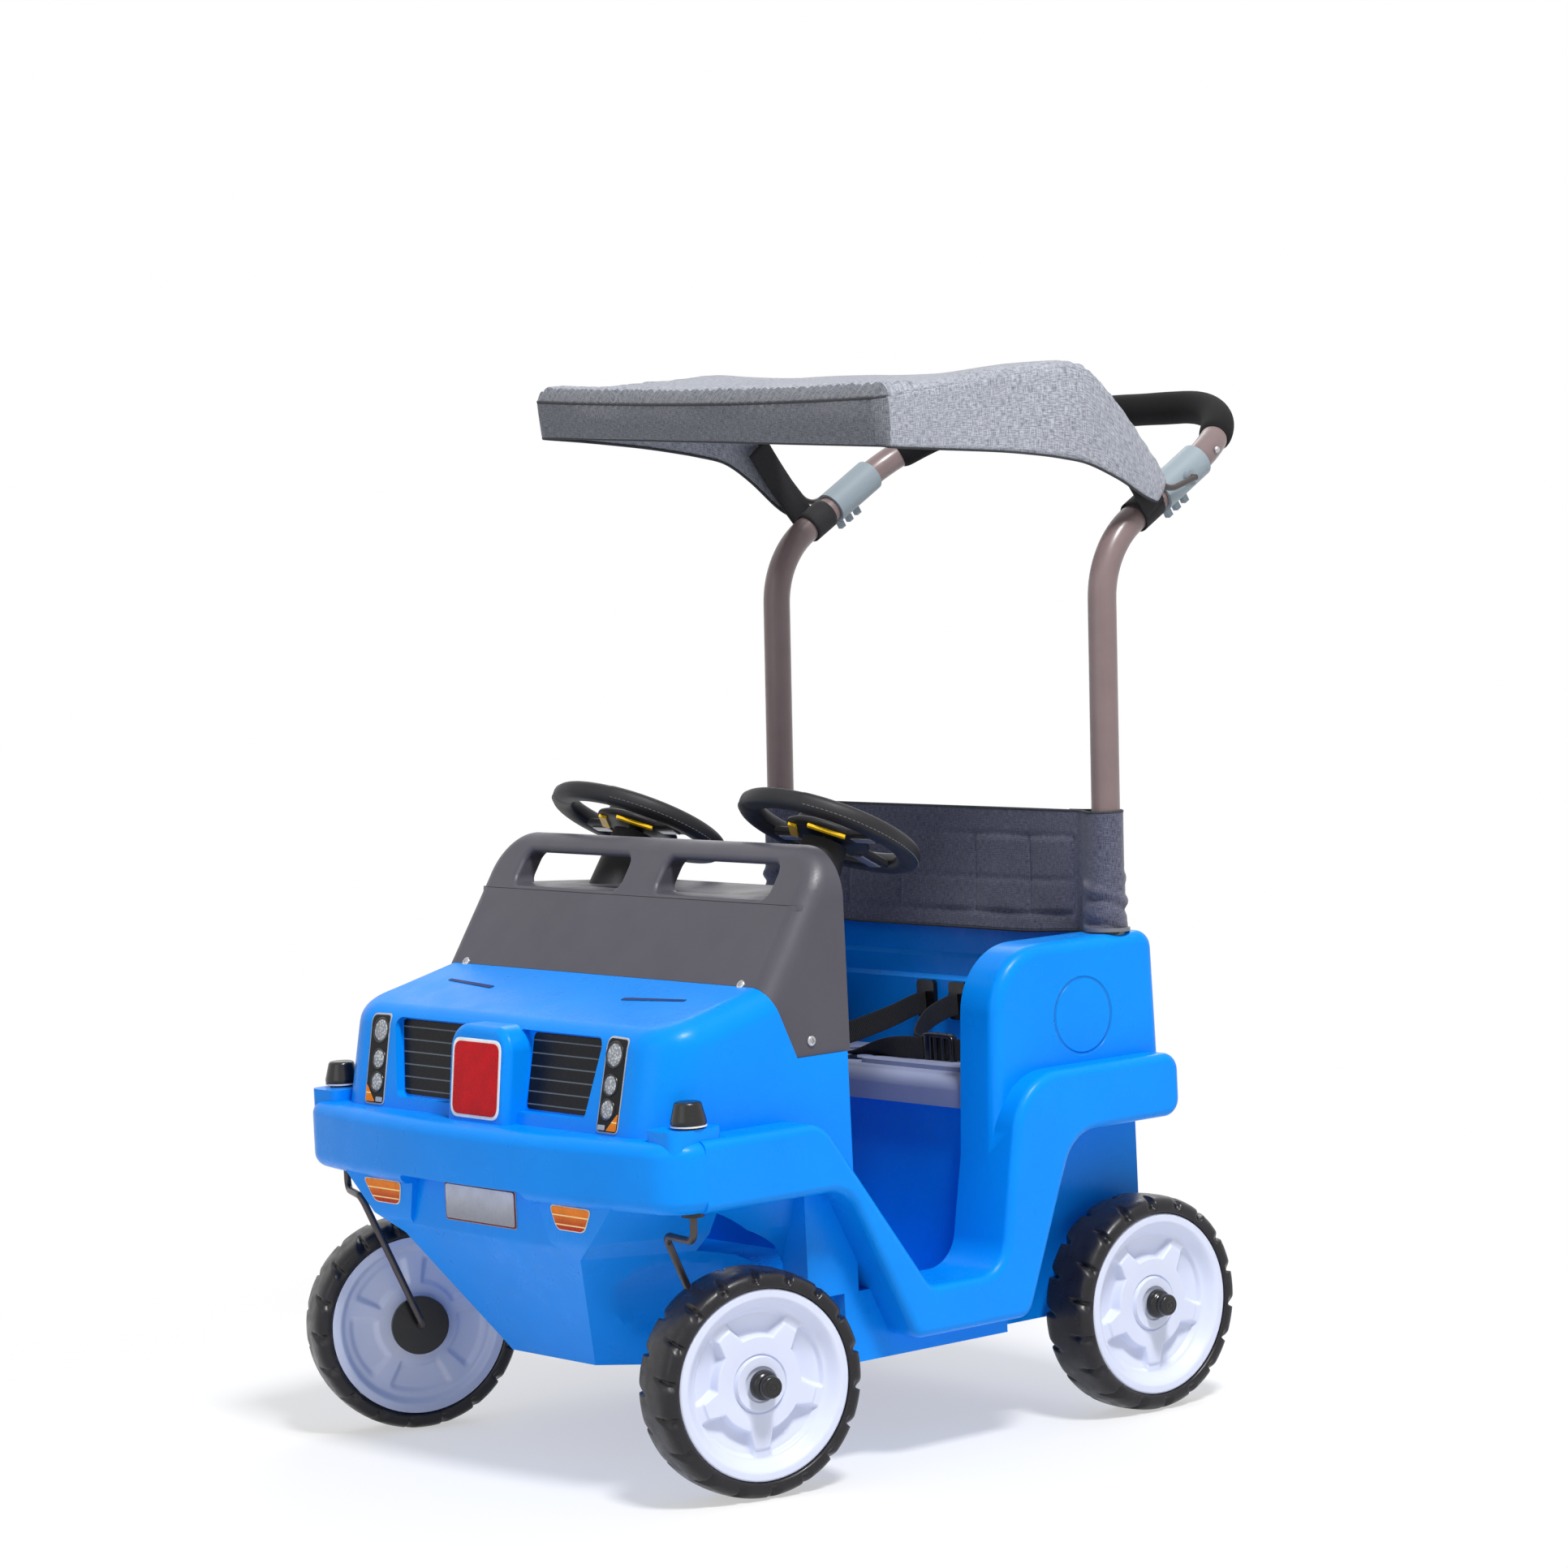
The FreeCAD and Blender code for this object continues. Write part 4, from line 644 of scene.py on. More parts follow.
@dataclass(frozen=True)
class Heather:
    """Woven cloth of mixed yarns: flecks along both threads over a plain weave, with painted shade on the cloth ahead
    of front where given.
    """

    name: str
    dark: Colour
    light: Colour
    thread: float = 0.0008
    fleck: float = 0.008
    # Range of Object Y ahead of which the cloth gets painted shade.
    front: Optional[tuple[float, float]] = None
    front_shade: float = 0.46

    def material(self) -> bpy.types.Material:
        """The finish: noise drawn out along each thread of the flat map picks the yarn; ahead of front the colour is
        darkened as painted shade, for the less lit front band.
        """
        tree = Tree(self.name)
        long = tree.noise(1.0, 2.0, 0.6, tree.place((1 / self.fleck, 1 / self.thread, 1), True))
        cross = tree.noise(1.0, 2.0, 0.6, tree.place((1 / self.thread, 1 / self.fleck, 1), True))
        yarn = tree.span(tree.maths("ADD", long, cross), 0.72, 1.28)
        colour = tree.mix(yarn, self.dark, self.light)
        cloud = tree.span(tree.noise(0.09, 3.0), 0.3, 0.7, 0.0, 0.14)
        colour = tree.mix(cloud, colour, self.dark)
        if self.front:
            # Painted shade: the cloth ahead of front (the canopy's front band) is darkened, standing in for the band's
            # lower light.
            back = tree.add("ShaderNodeSeparateXYZ", {0: tree.coords.outputs["Object"]}).outputs[1]
            deep = tree.mix(yarn, shade(self.dark, self.front_shade), shade(self.light, self.front_shade))
            colour = tree.mix(tree.span(back, *self.front), deep, colour)
        bands = WAVE / (self.thread * 2)
        waves = [tree.add("ShaderNodeTexWave", {"Vector": tree.coords.outputs["UV"], "Scale": bands,
                                                "Distortion": 0.6}, bands_direction=d).outputs[1] for d in "XY"]
        weave = tree.maths("MULTIPLY", *waves)
        tree.feed(Base_Color=colour, Roughness=0.88, Specular_IOR_Level=0.2, Sheen_Weight=0.25, Sheen_Roughness=0.5,
                  Normal=tree.bump(weave, 0.25, 0.0005))
        return tree.material


@dataclass(frozen=True)
class Webbing:
    """Woven strap: ribs across its length, whose lighter tops and flecks are painted sheen over the weave's own rib
    pattern.
    """

    name: str
    colour: Colour
    rib: float = 0.0022

    def material(self) -> bpy.types.Material:
        """The finish: a wave along the flat map's length makes the ribs."""
        tree = Tree(self.name)
        rib = tree.add("ShaderNodeTexWave", {"Vector": tree.coords.outputs["UV"], "Scale": WAVE / self.rib,
                                             "Distortion": 1.2, "Detail": 1.0}, bands_direction="Y").outputs[1]
        sheen_flecks = tree.noise(0.0018, 2.0)
        # Partly painted sheen: the rib pattern is the weave's own, but the lighter rib tops and flecks stand in for
        # light on the threads.
        colour = tree.mix(tree.maths("MULTIPLY", rib, sheen_flecks), shade(self.colour, 0.6), shade(self.colour, 3.4))
        tree.feed(Base_Color=colour, Roughness=0.74, Specular_IOR_Level=0.3,
                  Normal=tree.bump(rib, 0.35, 0.0005))
        return tree.material


@dataclass(frozen=True)
class Rubber:
    """Blown tyre plastic: near black, half gloss, with a sandy skin."""

    name: str
    colour: Colour

    def material(self) -> bpy.types.Material:
        """The finish as a material."""
        tree = Tree(self.name)
        sand = tree.noise(0.0014, 3.0, 0.7)
        dust = tree.span(tree.noise(0.03, 4.0, 0.6), 0.45, 0.8)
        colour = tree.mix(dust, self.colour, shade(self.colour, 1.9))
        gloss = tree.span(tree.noise(0.012, 3.0), 0.3, 0.7, 0.26, 0.42)
        tree.feed(Base_Color=colour, Roughness=gloss, Specular_IOR_Level=0.35, Normal=tree.bump(sand, 0.10, 0.0005))
        return tree.material


@dataclass(frozen=True)
class Film:
    """Printed film: a clouded colour, with level lines of a second one or a fade to a third where given."""

    name: str
    colour: Colour
    line: Colour = (0.0, 0.0, 0.0)
    pitch: float = 0.0
    share: float = 0.16
    roughness: float = 0.3
    phase: float = 0.0
    low: Optional[Colour] = None
    fade: tuple[float, float] = (0.0, 1.0)

    def material(self) -> bpy.types.Material:
        """The finish: a saw of the height picks the lines, and a soft step of the height makes the fade."""
        tree = Tree(self.name)
        cloud = tree.span(tree.noise(0.02, 3.0), 0.3, 0.7)
        colour = tree.mix(cloud, shade(self.colour, 0.9), shade(self.colour, 1.08))
        height = tree.add("ShaderNodeSeparateXYZ", {0: tree.coords.outputs["Object"]}).outputs[2]
        if self.low:
            colour = tree.mix(tree.span(height, *self.fade), self.low, colour)
        if self.pitch:
            saw = tree.maths("PINGPONG", tree.maths("ADD", height, self.phase), self.pitch / 2)
            band = self.pitch / 2 * self.share
            colour = tree.mix(tree.span(saw, band * 1.3, band * 0.7), colour, self.line)
        gloss = tree.span(tree.noise(0.004, 2.0), 0.3, 0.7, self.roughness - 0.05, self.roughness + 0.08)
        tree.feed(Base_Color=colour, Roughness=gloss, Specular_IOR_Level=0.14,
                  Normal=tree.bump(tree.noise(0.0016, 1.0), 0.02, 0.0002))
        return tree.material


@dataclass(frozen=True)
class Facets:
    """Silvered lamp glass: small facets over a bright ground."""

    name: str
    colour: Colour

    def material(self) -> bpy.types.Material:
        """The finish: the edges of a small cell pattern are raised and darker."""
        tree = Tree(self.name)
        cell = tree.add("ShaderNodeTexVoronoi", {"Vector": tree.coords.outputs["Object"], "Scale": 330.0}).outputs
        tone = tree.span(cell[0], 0.1, 0.6)
        tree.feed(Base_Color=tree.mix(tone, self.colour, shade(self.colour, 0.4)), Roughness=0.24, Metallic=0.35,
                  Normal=tree.bump(cell[0], 0.4, 0.001))
        return tree.material


class Palette:
    """Every finish of the car, made once."""

    def __init__(self) -> None:
        """Make the materials."""
        self.blue = BodyMoulding("body_blue", srgb(2, 138, 240), 0.30, 0.04, specular=0.14).material()
        self.dash = Moulding("dash_grain", srgb(71, 69, 78), 0.42, 0.06, grain=0.0016, relief=0.3,
                             specular=0.5).material()
        self.seat = Moulding("seat_slate", srgb(138, 146, 176), 0.46, 0.07, grain=0.0015, relief=0.25).material()
        self.black = Moulding("fitting_black", srgb(16, 16, 18), 0.24, 0.1, specular=0.5).material()
        self.matt = Moulding("fitting_matt", srgb(34, 34, 37), 0.5, 0.1, relief=0.25).material()
        self.hub = Moulding("hub_pale", srgb(210, 216, 236), 0.34, 0.03).material()
        self.washer = Moulding("washer_white", srgb(225, 225, 228), 0.4, 0.03).material()
        self.yellow = Moulding("insert_yellow", srgb(250, 200, 20), 0.4, 0.06).material()
        self.clamp = Moulding("clamp_grey", srgb(138, 150, 158), 0.45, 0.06, grain=0.0014, relief=0.2).material()
        self.socket = Moulding("socket_grey", srgb(112, 114, 120), 0.48, 0.06).material()
        self.tyre = Rubber("tyre_black", srgb(26, 25, 29)).material()
        self.tube = Lacquer("tube_taupe", srgb(120, 102, 102)).material()
        self.rod = Lacquer("rod_dark", srgb(78, 72, 72), 0.6, 0.4).material()
        self.steel = Lacquer("bright_steel", srgb(190, 190, 192), 0.9, 0.3).material()
        self.foam = Sponge("grip_foam", srgb(15, 15, 17)).material()
        # The front range darkens the canopy's front band as painted shade.
        self.canopy = Heather("canopy_heather", srgb(108, 112, 122), srgb(184, 187, 197),
                              front=(-0.1012, -0.0998)).material()
        self.sling = Heather("sling_heather", srgb(54, 55, 70), srgb(102, 104, 124)).material()
        self.binding = Webbing("binding_dark", srgb(48, 50, 54), 0.0018).material()
        self.webbing = Webbing("webbing_black", srgb(28, 28, 30)).material()
        self.grille = Film("grille_print", srgb(18, 18, 21), srgb(96, 104, 112), 0.0134, 0.10).material()
        self.lamp_ground = Film("lamp_ground", srgb(17, 18, 21)).material()
        self.lamp_edge = Film("lamp_edge", srgb(176, 182, 190)).material()
        self.lamp = Facets("lamp_silver", srgb(206, 212, 220)).material()
        self.amber = Film("amber_print", srgb(236, 128, 26), srgb(255, 220, 150), 0.0100, 0.14, phase=0.0047,
                          low=srgb(178, 44, 14), fade=(0.280, 0.302)).material()
        self.cream = Film("marker_edge", srgb(238, 226, 205)).material()
        self.thread = Moulding("thread_grey", srgb(96, 96, 100), 0.7, 0.1).material()
        self.trim = Lacquer("trim_satin", srgb(150, 152, 158), 0.7, 0.36).material()
        self.red = Film("badge_red", srgb(192, 6, 22)).material()
        self.white = Film("badge_white", srgb(236, 238, 240)).material()
        self.plate = Film("plate_silver", srgb(196, 198, 204), low=srgb(150, 152, 160), fade=(0.270, 0.312)).material()
        self.plate_rim = Film("plate_rim", srgb(110, 24, 30)).material()
        # The hood's vent slits: a dark blue sheet as painted shade in their hollow.
        self.dark_slot = Moulding("slot_dark", srgb(8, 44, 104), 0.6, 0.05).material()


@dataclass
class Body:
    """Moulded body with its prints, lamps, vents and fittings.

    Prints start on a plane ahead of the body, or at a height above its hood, and are dropped on to it.
    """

    palette: Palette
    lift: float = 0.25 * MM
    sheet: float = 0.4 * MM
    layer_step: float = 1.25
    ahead: float = -0.56
    above: float = 0.7
    rim_points: int = 121
    rings: tuple[float, ...] = (1.0, 0.985, 0.94, 0.85, 0.7, 0.5, 0.25, 0.0)

    def build(self) -> None:
        """Dress the shell, then everything that is fixed to it."""
        p = self.palette
        self.shell = dress("body_shell", p.blue, "blue_plastic")
        self.tree = rays(self.shell)
        for side in Side:
            self.lamp(side)
            self.grille(side)
            self.marker(side)
            self.vent(side)
            dress("tube_socket_" + side.word, p.socket, "grey_plastic")
            dress("pivot_bush_" + side.word, p.black, "black_plastic")
        self.badge()
        self.plate()

    def panel(self, side: Side, *spots: Sequence[float]) -> Array:
        """Corners ahead of the body on one side, from pairs of side and height in millimetres."""
        return np.array([[side.value * x * MM, self.ahead, z * MM] for x, z in spots])

    def ground(self, spots: Array) -> tuple[Array, Array]:
        """Plane of the shell behind a few spots, found along rays that run straight back.

        Args:
            spots: points ahead of the shell where the rays start.

        Returns:
            A point of the plane and its outward direction.
        """
        way = Vector((0, 1, 0))
        hits = [self.tree.ray_cast(Vector(s), way)[0] for s in spots]
        found = np.array([tuple(h) for h in hits if h is not None])
        middle = found.mean(axis=0)
        normal = np.linalg.svd(found - middle)[2][-1]
        return middle, normal * (-1 if normal @ np.array(way) > 0 else 1)

    def decal(self, name: str, outline: Sequence[Sequence[float]], material: bpy.types.Material, slot: str,
              layer: int = 0, round_off: float = 0.004, down: bool = False) -> None:
        """A thin print with rounded corners that lies on the shell.

        The outline's corners become quadratic curves. Rings of it, drawn in to its middle, are dropped backwards, or
        straight down, until they meet the shell, and the sheet gets its wall outwards.

        Args:
            name: name of the piece.
            outline: its corners, clear of the shell.
            material: finish.
            slot: not used, as fit ignores it.
            layer: how many prints lie under it.
            round_off: length that each corner takes from its sides.
            down: whether it is dropped down instead of backwards.
        """
        corners = np.asarray(outline, dtype=float)
        sides = [np.roll(corners, k, axis=0) - corners for k in (1, -1)]
        back, ahead = (s / np.linalg.norm(s, axis=1, keepdims=True) for s in sides)
        t = np.linspace(0.0, 1.0, 9)[None, :, None]
        rim = corners[:, None] + round_off * ((1 - t) ** 2 * back[:, None] + t ** 2 * ahead[:, None])
        rim = spaced(np.vstack((rim.reshape(-1, 3), rim[0, :1])), self.rim_points)
        core = corners.mean(axis=0)
        share = np.array(self.rings)[:, None, None]
        obj = piece(name, Surface.lattice(core + share * (rim - core)), material, shell=False)
        drop = obj.modifiers.new("drop", "SHRINKWRAP")
        drop.target = self.shell
        drop.wrap_method = "PROJECT"
        drop.use_project_y, drop.use_project_z = not down, down
        drop.use_positive_direction, drop.use_negative_direction = not down, down
        drop.offset = self.lift + layer * self.layer_step * self.sheet
        graph = bpy.context.evaluated_depsgraph_get()
        laid = bpy.data.meshes.new_from_object(obj.evaluated_get(graph), preserve_all_data_layers=True, depsgraph=graph)
        obj.modifiers.clear()
        obj.data = laid
        turn_to(obj, (0, 0, 1) if down else (0, -1, 0), -1)
        thicken(obj, self.sheet, 1.0)
        fit(obj, "chassis", slot)

    def lamp(self, side: Side) -> None:
        """Headlight print: dark ground in a pale outline, three round lamps, a clear box and an amber corner."""
        p, word = self.palette, side.word
        outer = self.panel(side, (194.1, 383.0), (231.0, 383.0), (234.0, 481.5), (198.5, 482.4))
        inner = self.panel(side, (195.9, 384.8), (229.4, 384.8), (232.3, 479.8), (200.2, 480.6))
        self.decal(f"lamp_edge_{word}", outer, p.lamp_edge, "grey_plastic", 0, 0.006)
        self.decal(f"lamp_ground_{word}", inner, p.lamp_ground, "black_plastic", 1, 0.005)
        corner = self.panel(side, (211.5, 386.0), (228.6, 386.0), (229.3, 404.5), (222.0, 397.0))
        self.decal(f"lamp_amber_{word}", corner, p.amber, "yellow_plastic", 2, 0.002)
        box = self.panel(side, (197.4, 386.4), (209.5, 386.4), (209.5, 391.6), (197.6, 391.6))
        self.decal(f"lamp_box_{word}", box, p.lamp_edge, "grey_plastic", 2, 0.001)
        for k, (x, z, radius) in enumerate(((213.4, 463.8, 13.6), (211.6, 432.6, 11.2), (210.6, 407.4, 11.2))):
            self.lens(f"lamp_{k}_{word}", side.value * x * MM, z * MM, radius * MM)

    def lens(self, name: str, x: float, z: float, radius: float) -> None:
        """A round lamp: a faceted disc in a dark bezel, both turned about the shell's own direction."""
        p = self.palette
        t = np.linspace(0.0, TURN, 9)[:-1]
        spots = np.stack((x + radius * np.cos(t), np.full_like(t, self.ahead), z + radius * np.sin(t)), axis=1)
        middle, normal = self.ground(spots)
        base = middle + normal * 3 * self.sheet
        disc = [(0.0, 1.3), (0.35, 1.25), (0.68, 1.05), (0.87, 0.7), (0.91, 0.0)]
        ring = [(0.90, 0.2), (0.92, 1.0), (0.98, 1.2), (1.04, 0.9), (1.08, -0.3)]
        for part, profile, finish, slot in (("disc", disc, p.lamp, "grey_plastic"),
                                            ("bezel", ring, p.black, "black_plastic")):
            shape = turned(np.array(profile) * (radius, MM), base, normal, 40)
            obj = piece(f"{name}_{part}", shape, finish, shell=False)
            turn_to(obj, normal, len(obj.data.polygons) // 2)
            fit(obj, "chassis", slot)

    def grille(self, side: Side) -> None:
        """Dark lined print on the floor of the recess beside the badge."""
        outline = self.panel(side, (57.0, 396.5), (169.0, 396.5), (187.5, 477.0), (57.0, 477.0))
        self.decal(f"grille_{side.word}", outline, self.palette.grille, "black_plastic", 0, 0.006)

    def marker(self, side: Side) -> None:
        """Amber marker print with a pale edge on the apron."""
        p = self.palette
        outer = self.panel(side, (144.0, 279.0), (192.0, 279.0), (209.0, 305.5), (136.0, 305.5))
        inner = outer + (outer.mean(axis=0) - outer) * np.array([0.045, 0.0, 0.075])
        self.decal(f"marker_edge_{side.word}", outer, p.cream, "white_plastic", 0, 0.008)
        self.decal(f"marker_{side.word}", inner, p.amber, "yellow_plastic", 1, 0.0075)

    def vent(self, side: Side) -> None:
        """Narrow slit on the hood as painted shade: a dark blue sheet laid where the slot's hollow is."""
        spots = ((118.0, -353.1), (214.0, -342.1), (214.0, -337.0), (118.0, -346.2))
        outline = [(side.value * x * MM, y * MM, self.above) for x, y in spots]
        self.decal(f"vent_{side.word}", outline, self.palette.dark_slot, "blue_plastic", 0, 0.0025, True)

    def badge(self) -> None:
        """Bare badge: a red field in a white rim on the boss."""
        p = self.palette
        outer = self.panel(Side.LEFT, (-44.0, 385.0), (44.0, 385.0), (44.0, 470.0), (-44.0, 470.0))
        inner = outer + (outer.mean(axis=0) - outer) * 0.085
        self.decal("badge_rim", outer, p.white, "white_plastic", 0, 0.013)
        self.decal("badge_field", inner, p.red, "black_plastic", 1, 0.011)

    def plate(self) -> None:
        """Bare number plate with a dark red border in the apron's recess."""
        p = self.palette
        outer = self.panel(Side.LEFT, (-65.0, 270.0), (65.0, 270.0), (65.0, 312.0), (-65.0, 312.0))
        layers = (("plate_base", p.plate, 0.0), ("plate_rim", p.plate_rim, 0.0008), ("plate_field", p.plate, 0.0024))
        for layer, (name, finish, inset) in enumerate(layers):
            self.decal(name, outer - inset * np.sign(outer - outer.mean(axis=0)), finish, "grey_plastic", layer, 0.003)


@dataclass
class Cabin:
    """Dash panel, seat panel, belts and their fittings."""

    palette: Palette
    belt_width: float = 25 * MM
    belt_wall: float = 1.8 * MM
    head: float = 5.6
    tray_heights: tuple[float, float] = (0.5975, 0.6045)
    tray_front: float = -0.183
    tray_half: float = 0.284
    tray_taper: float = 1.25
    proud_corner: tuple[float, float] = (0.286, -0.23993)
    set_corner: tuple[float, float] = (0.2812, -0.2378)
    front_screw: Spot = (0.248, -0.60, 0.5235)
    side_screw: Spot = (0.60, -0.236, 0.461)
    buckle_at: Spot = (0.121, 0.0923, 0.4045)
    belt_line: Line = (
        (0.028, 0.2043, 0.4370), (0.028, 0.186, 0.4350), (0.034, 0.150, 0.4240), (0.062, 0.108, 0.4085),
        (0.092, 0.0923, 0.4045), (0.121, 0.0923, 0.4045), (0.150, 0.0923, 0.4045), (0.182, 0.106, 0.4062),
        (0.210, 0.150, 0.4200), (0.214, 0.182, 0.4300), (0.214, 0.2043, 0.435))
    tail_line: Line = ((0.098, 0.0868, 0.4045), (0.072, 0.0840, 0.4042), (0.040, 0.0830, 0.4010),
                       (0.012, 0.0800, 0.3960), (-0.016, 0.0750, 0.3925))
    tail_turn: float = 76.0

    def build(self) -> None:
        """Dress the moulded panels, then the screws and belts."""
        p = self.palette
        self.dash = moulded("dash_panel", p.dash)
        self.trim()
        fit(self.dash, "chassis", "grey_plastic", "dash_panel")
        dress("seat_panel", p.seat, "seat_plastic")
        dress("belt_anchors", p.black, "black_plastic")
        self.tree = rays(self.dash)
        for side in Side:
            self.screw("dash_screw_front_" + side.word, self.front_screw * side.mirror, (0, 1, 0))
            self.screw("dash_screw_side_" + side.word, self.side_screw * side.mirror, (-side.value, 0, 0))
            self.belt(side)
        self.tail()

    def trim(self) -> None:
        """Draw the tray's ends in behind the dash, and set its front corners back to the dash's round edge."""
        mesh = self.dash.data
        points = np.empty(len(mesh.vertices) * 3)
        mesh.vertices.foreach_get("co", points)
        x, y, z = points.reshape(-1, 3).T
        tray = (z > self.tray_heights[0]) & (z < self.tray_heights[1])
        behind = y - self.tray_front
        reach = np.where(tray & (behind > 1 * MM), self.tray_half - self.tray_taper * np.maximum(behind, 0.0), 1.0)
        off = np.stack((np.abs(x) - self.proud_corner[0], y - self.proud_corner[1]))
        proud = tray & (np.abs(off) < np.array([[0.5], [0.4]]) * MM).all(axis=0)
        side = np.sign(x) * np.where(proud, self.set_corner[0], np.minimum(np.abs(x), reach))
        back = np.where(proud, self.set_corner[1], y)
        mesh.vertices.foreach_set("co", np.stack((side, back, z), axis=1).ravel())

    def screw(self, name: str, start: Sequence[float], ray: Sequence[float]) -> None:
        """Pan-head screw where a ray meets the dash: a low dome with a cross cut into it.

        Args:
            name: name of the piece.
            start: where the ray starts.
            ray: its direction.
        """
        spot, normal = self.tree.ray_cast(Vector(start), Vector(ray))[:2]
        axis = np.array(normal)
        one = unit(np.cross(axis, (0.3, 0.2, 1.0)))
        two = np.cross(axis, one)
        r = np.concatenate((np.linspace(0.0, self.head, 22), [self.head, self.head * 0.98]))[:, None]
        t = np.linspace(0.0, TURN, 49)[None]
        x, y = r * np.cos(t), r * np.sin(t)
        dome = 2.5 * np.sqrt(np.clip(1.0 - (r / (self.head * 1.04)) ** 2, 0.0, 1.0)) + 0.6
        slot = np.maximum(ease(1.0, 0.6, np.abs(x)), ease(1.0, 0.6, np.abs(y))) * ease(3.6, 2.9, r)
        rise = dome - 1.5 * slot
        rise[-2:] = -0.3
        grid = np.array(spot) + MM * (x[..., None] * one + y[..., None] * two + rise[..., None] * axis)
        obj = piece(name, Surface.lattice(grid), self.palette.steel, shell=False, crease=40)
        turn_to(obj, normal)
        fit(obj, "chassis", "steel")

    def belt(self, side: Side) -> None:
        """Lap belt that stands on edge round the seat pad, with its buckle."""
        path = flowing(self.belt_line, 140) * side.mirror
        surface = carried(path, box_section(self.belt_wall, self.belt_width, 8.0), UP)
        belt = piece("lap_belt_webbing_" + side.word, surface, self.palette.webbing, crease=50)
        fit(belt, "chassis", "webbing", "lap_belt_" + side.word)
        self.buckle(side)

    def buckle(self, side: Side) -> None:
        """Ladder buckle that stands on the belt: a soft bar carried round a frame, two bars and a lever across it."""
        middle = self.buckle_at * side.mirror
        ring = box_section(0.050, 0.030, 6.0, 80)
        ring = np.vstack((ring, ring[:1]))
        loop = middle + ring[:, :1] * ACROSS + ring[:, 1:] * UP
        parts = [carried(loop, box_section(0.0055, 0.0090, 4.0), (0, 1, 0), capped=False)]
        rise = np.linspace(-0.0145, 0.0145, 12)[:, None]
        for at, wide, deep in ((-0.004, 0.0050, 0.0070), (0.009, 0.0050, 0.0070), (-0.0165, 0.0130, 0.0105)):
            parts.append(carried(middle + at * ACROSS + rise * UP, box_section(wide, deep, 4.0), (0, 1, 0)))
        obj = piece("belt_buckle_ladder_" + side.word, Surface.joined(*parts), self.palette.black, crease=50)
        fit(obj, "chassis", "black_plastic", "belt_buckle_" + side.word)

    def tail(self) -> None:
        """Loose end of the left belt: it leaves the buckle on edge and turns flat on the seat."""
        path = flowing(self.tail_line, 60)
        turn = math.radians(self.tail_turn) * ease(0.25, 0.95, np.linspace(0.0, 1.0, len(path)))
        spin = np.stack((np.cos(turn), -np.sin(turn), np.sin(turn), np.cos(turn)), axis=1).reshape(-1, 2, 2)
        shape = np.einsum("kij,nj->kni", spin, box_section(self.belt_wall, self.belt_width, 8.0))
        obj = piece("lap_belt_tail", carried(path, shape, UP), self.palette.webbing, crease=50)
        fit(obj, "chassis", "webbing")


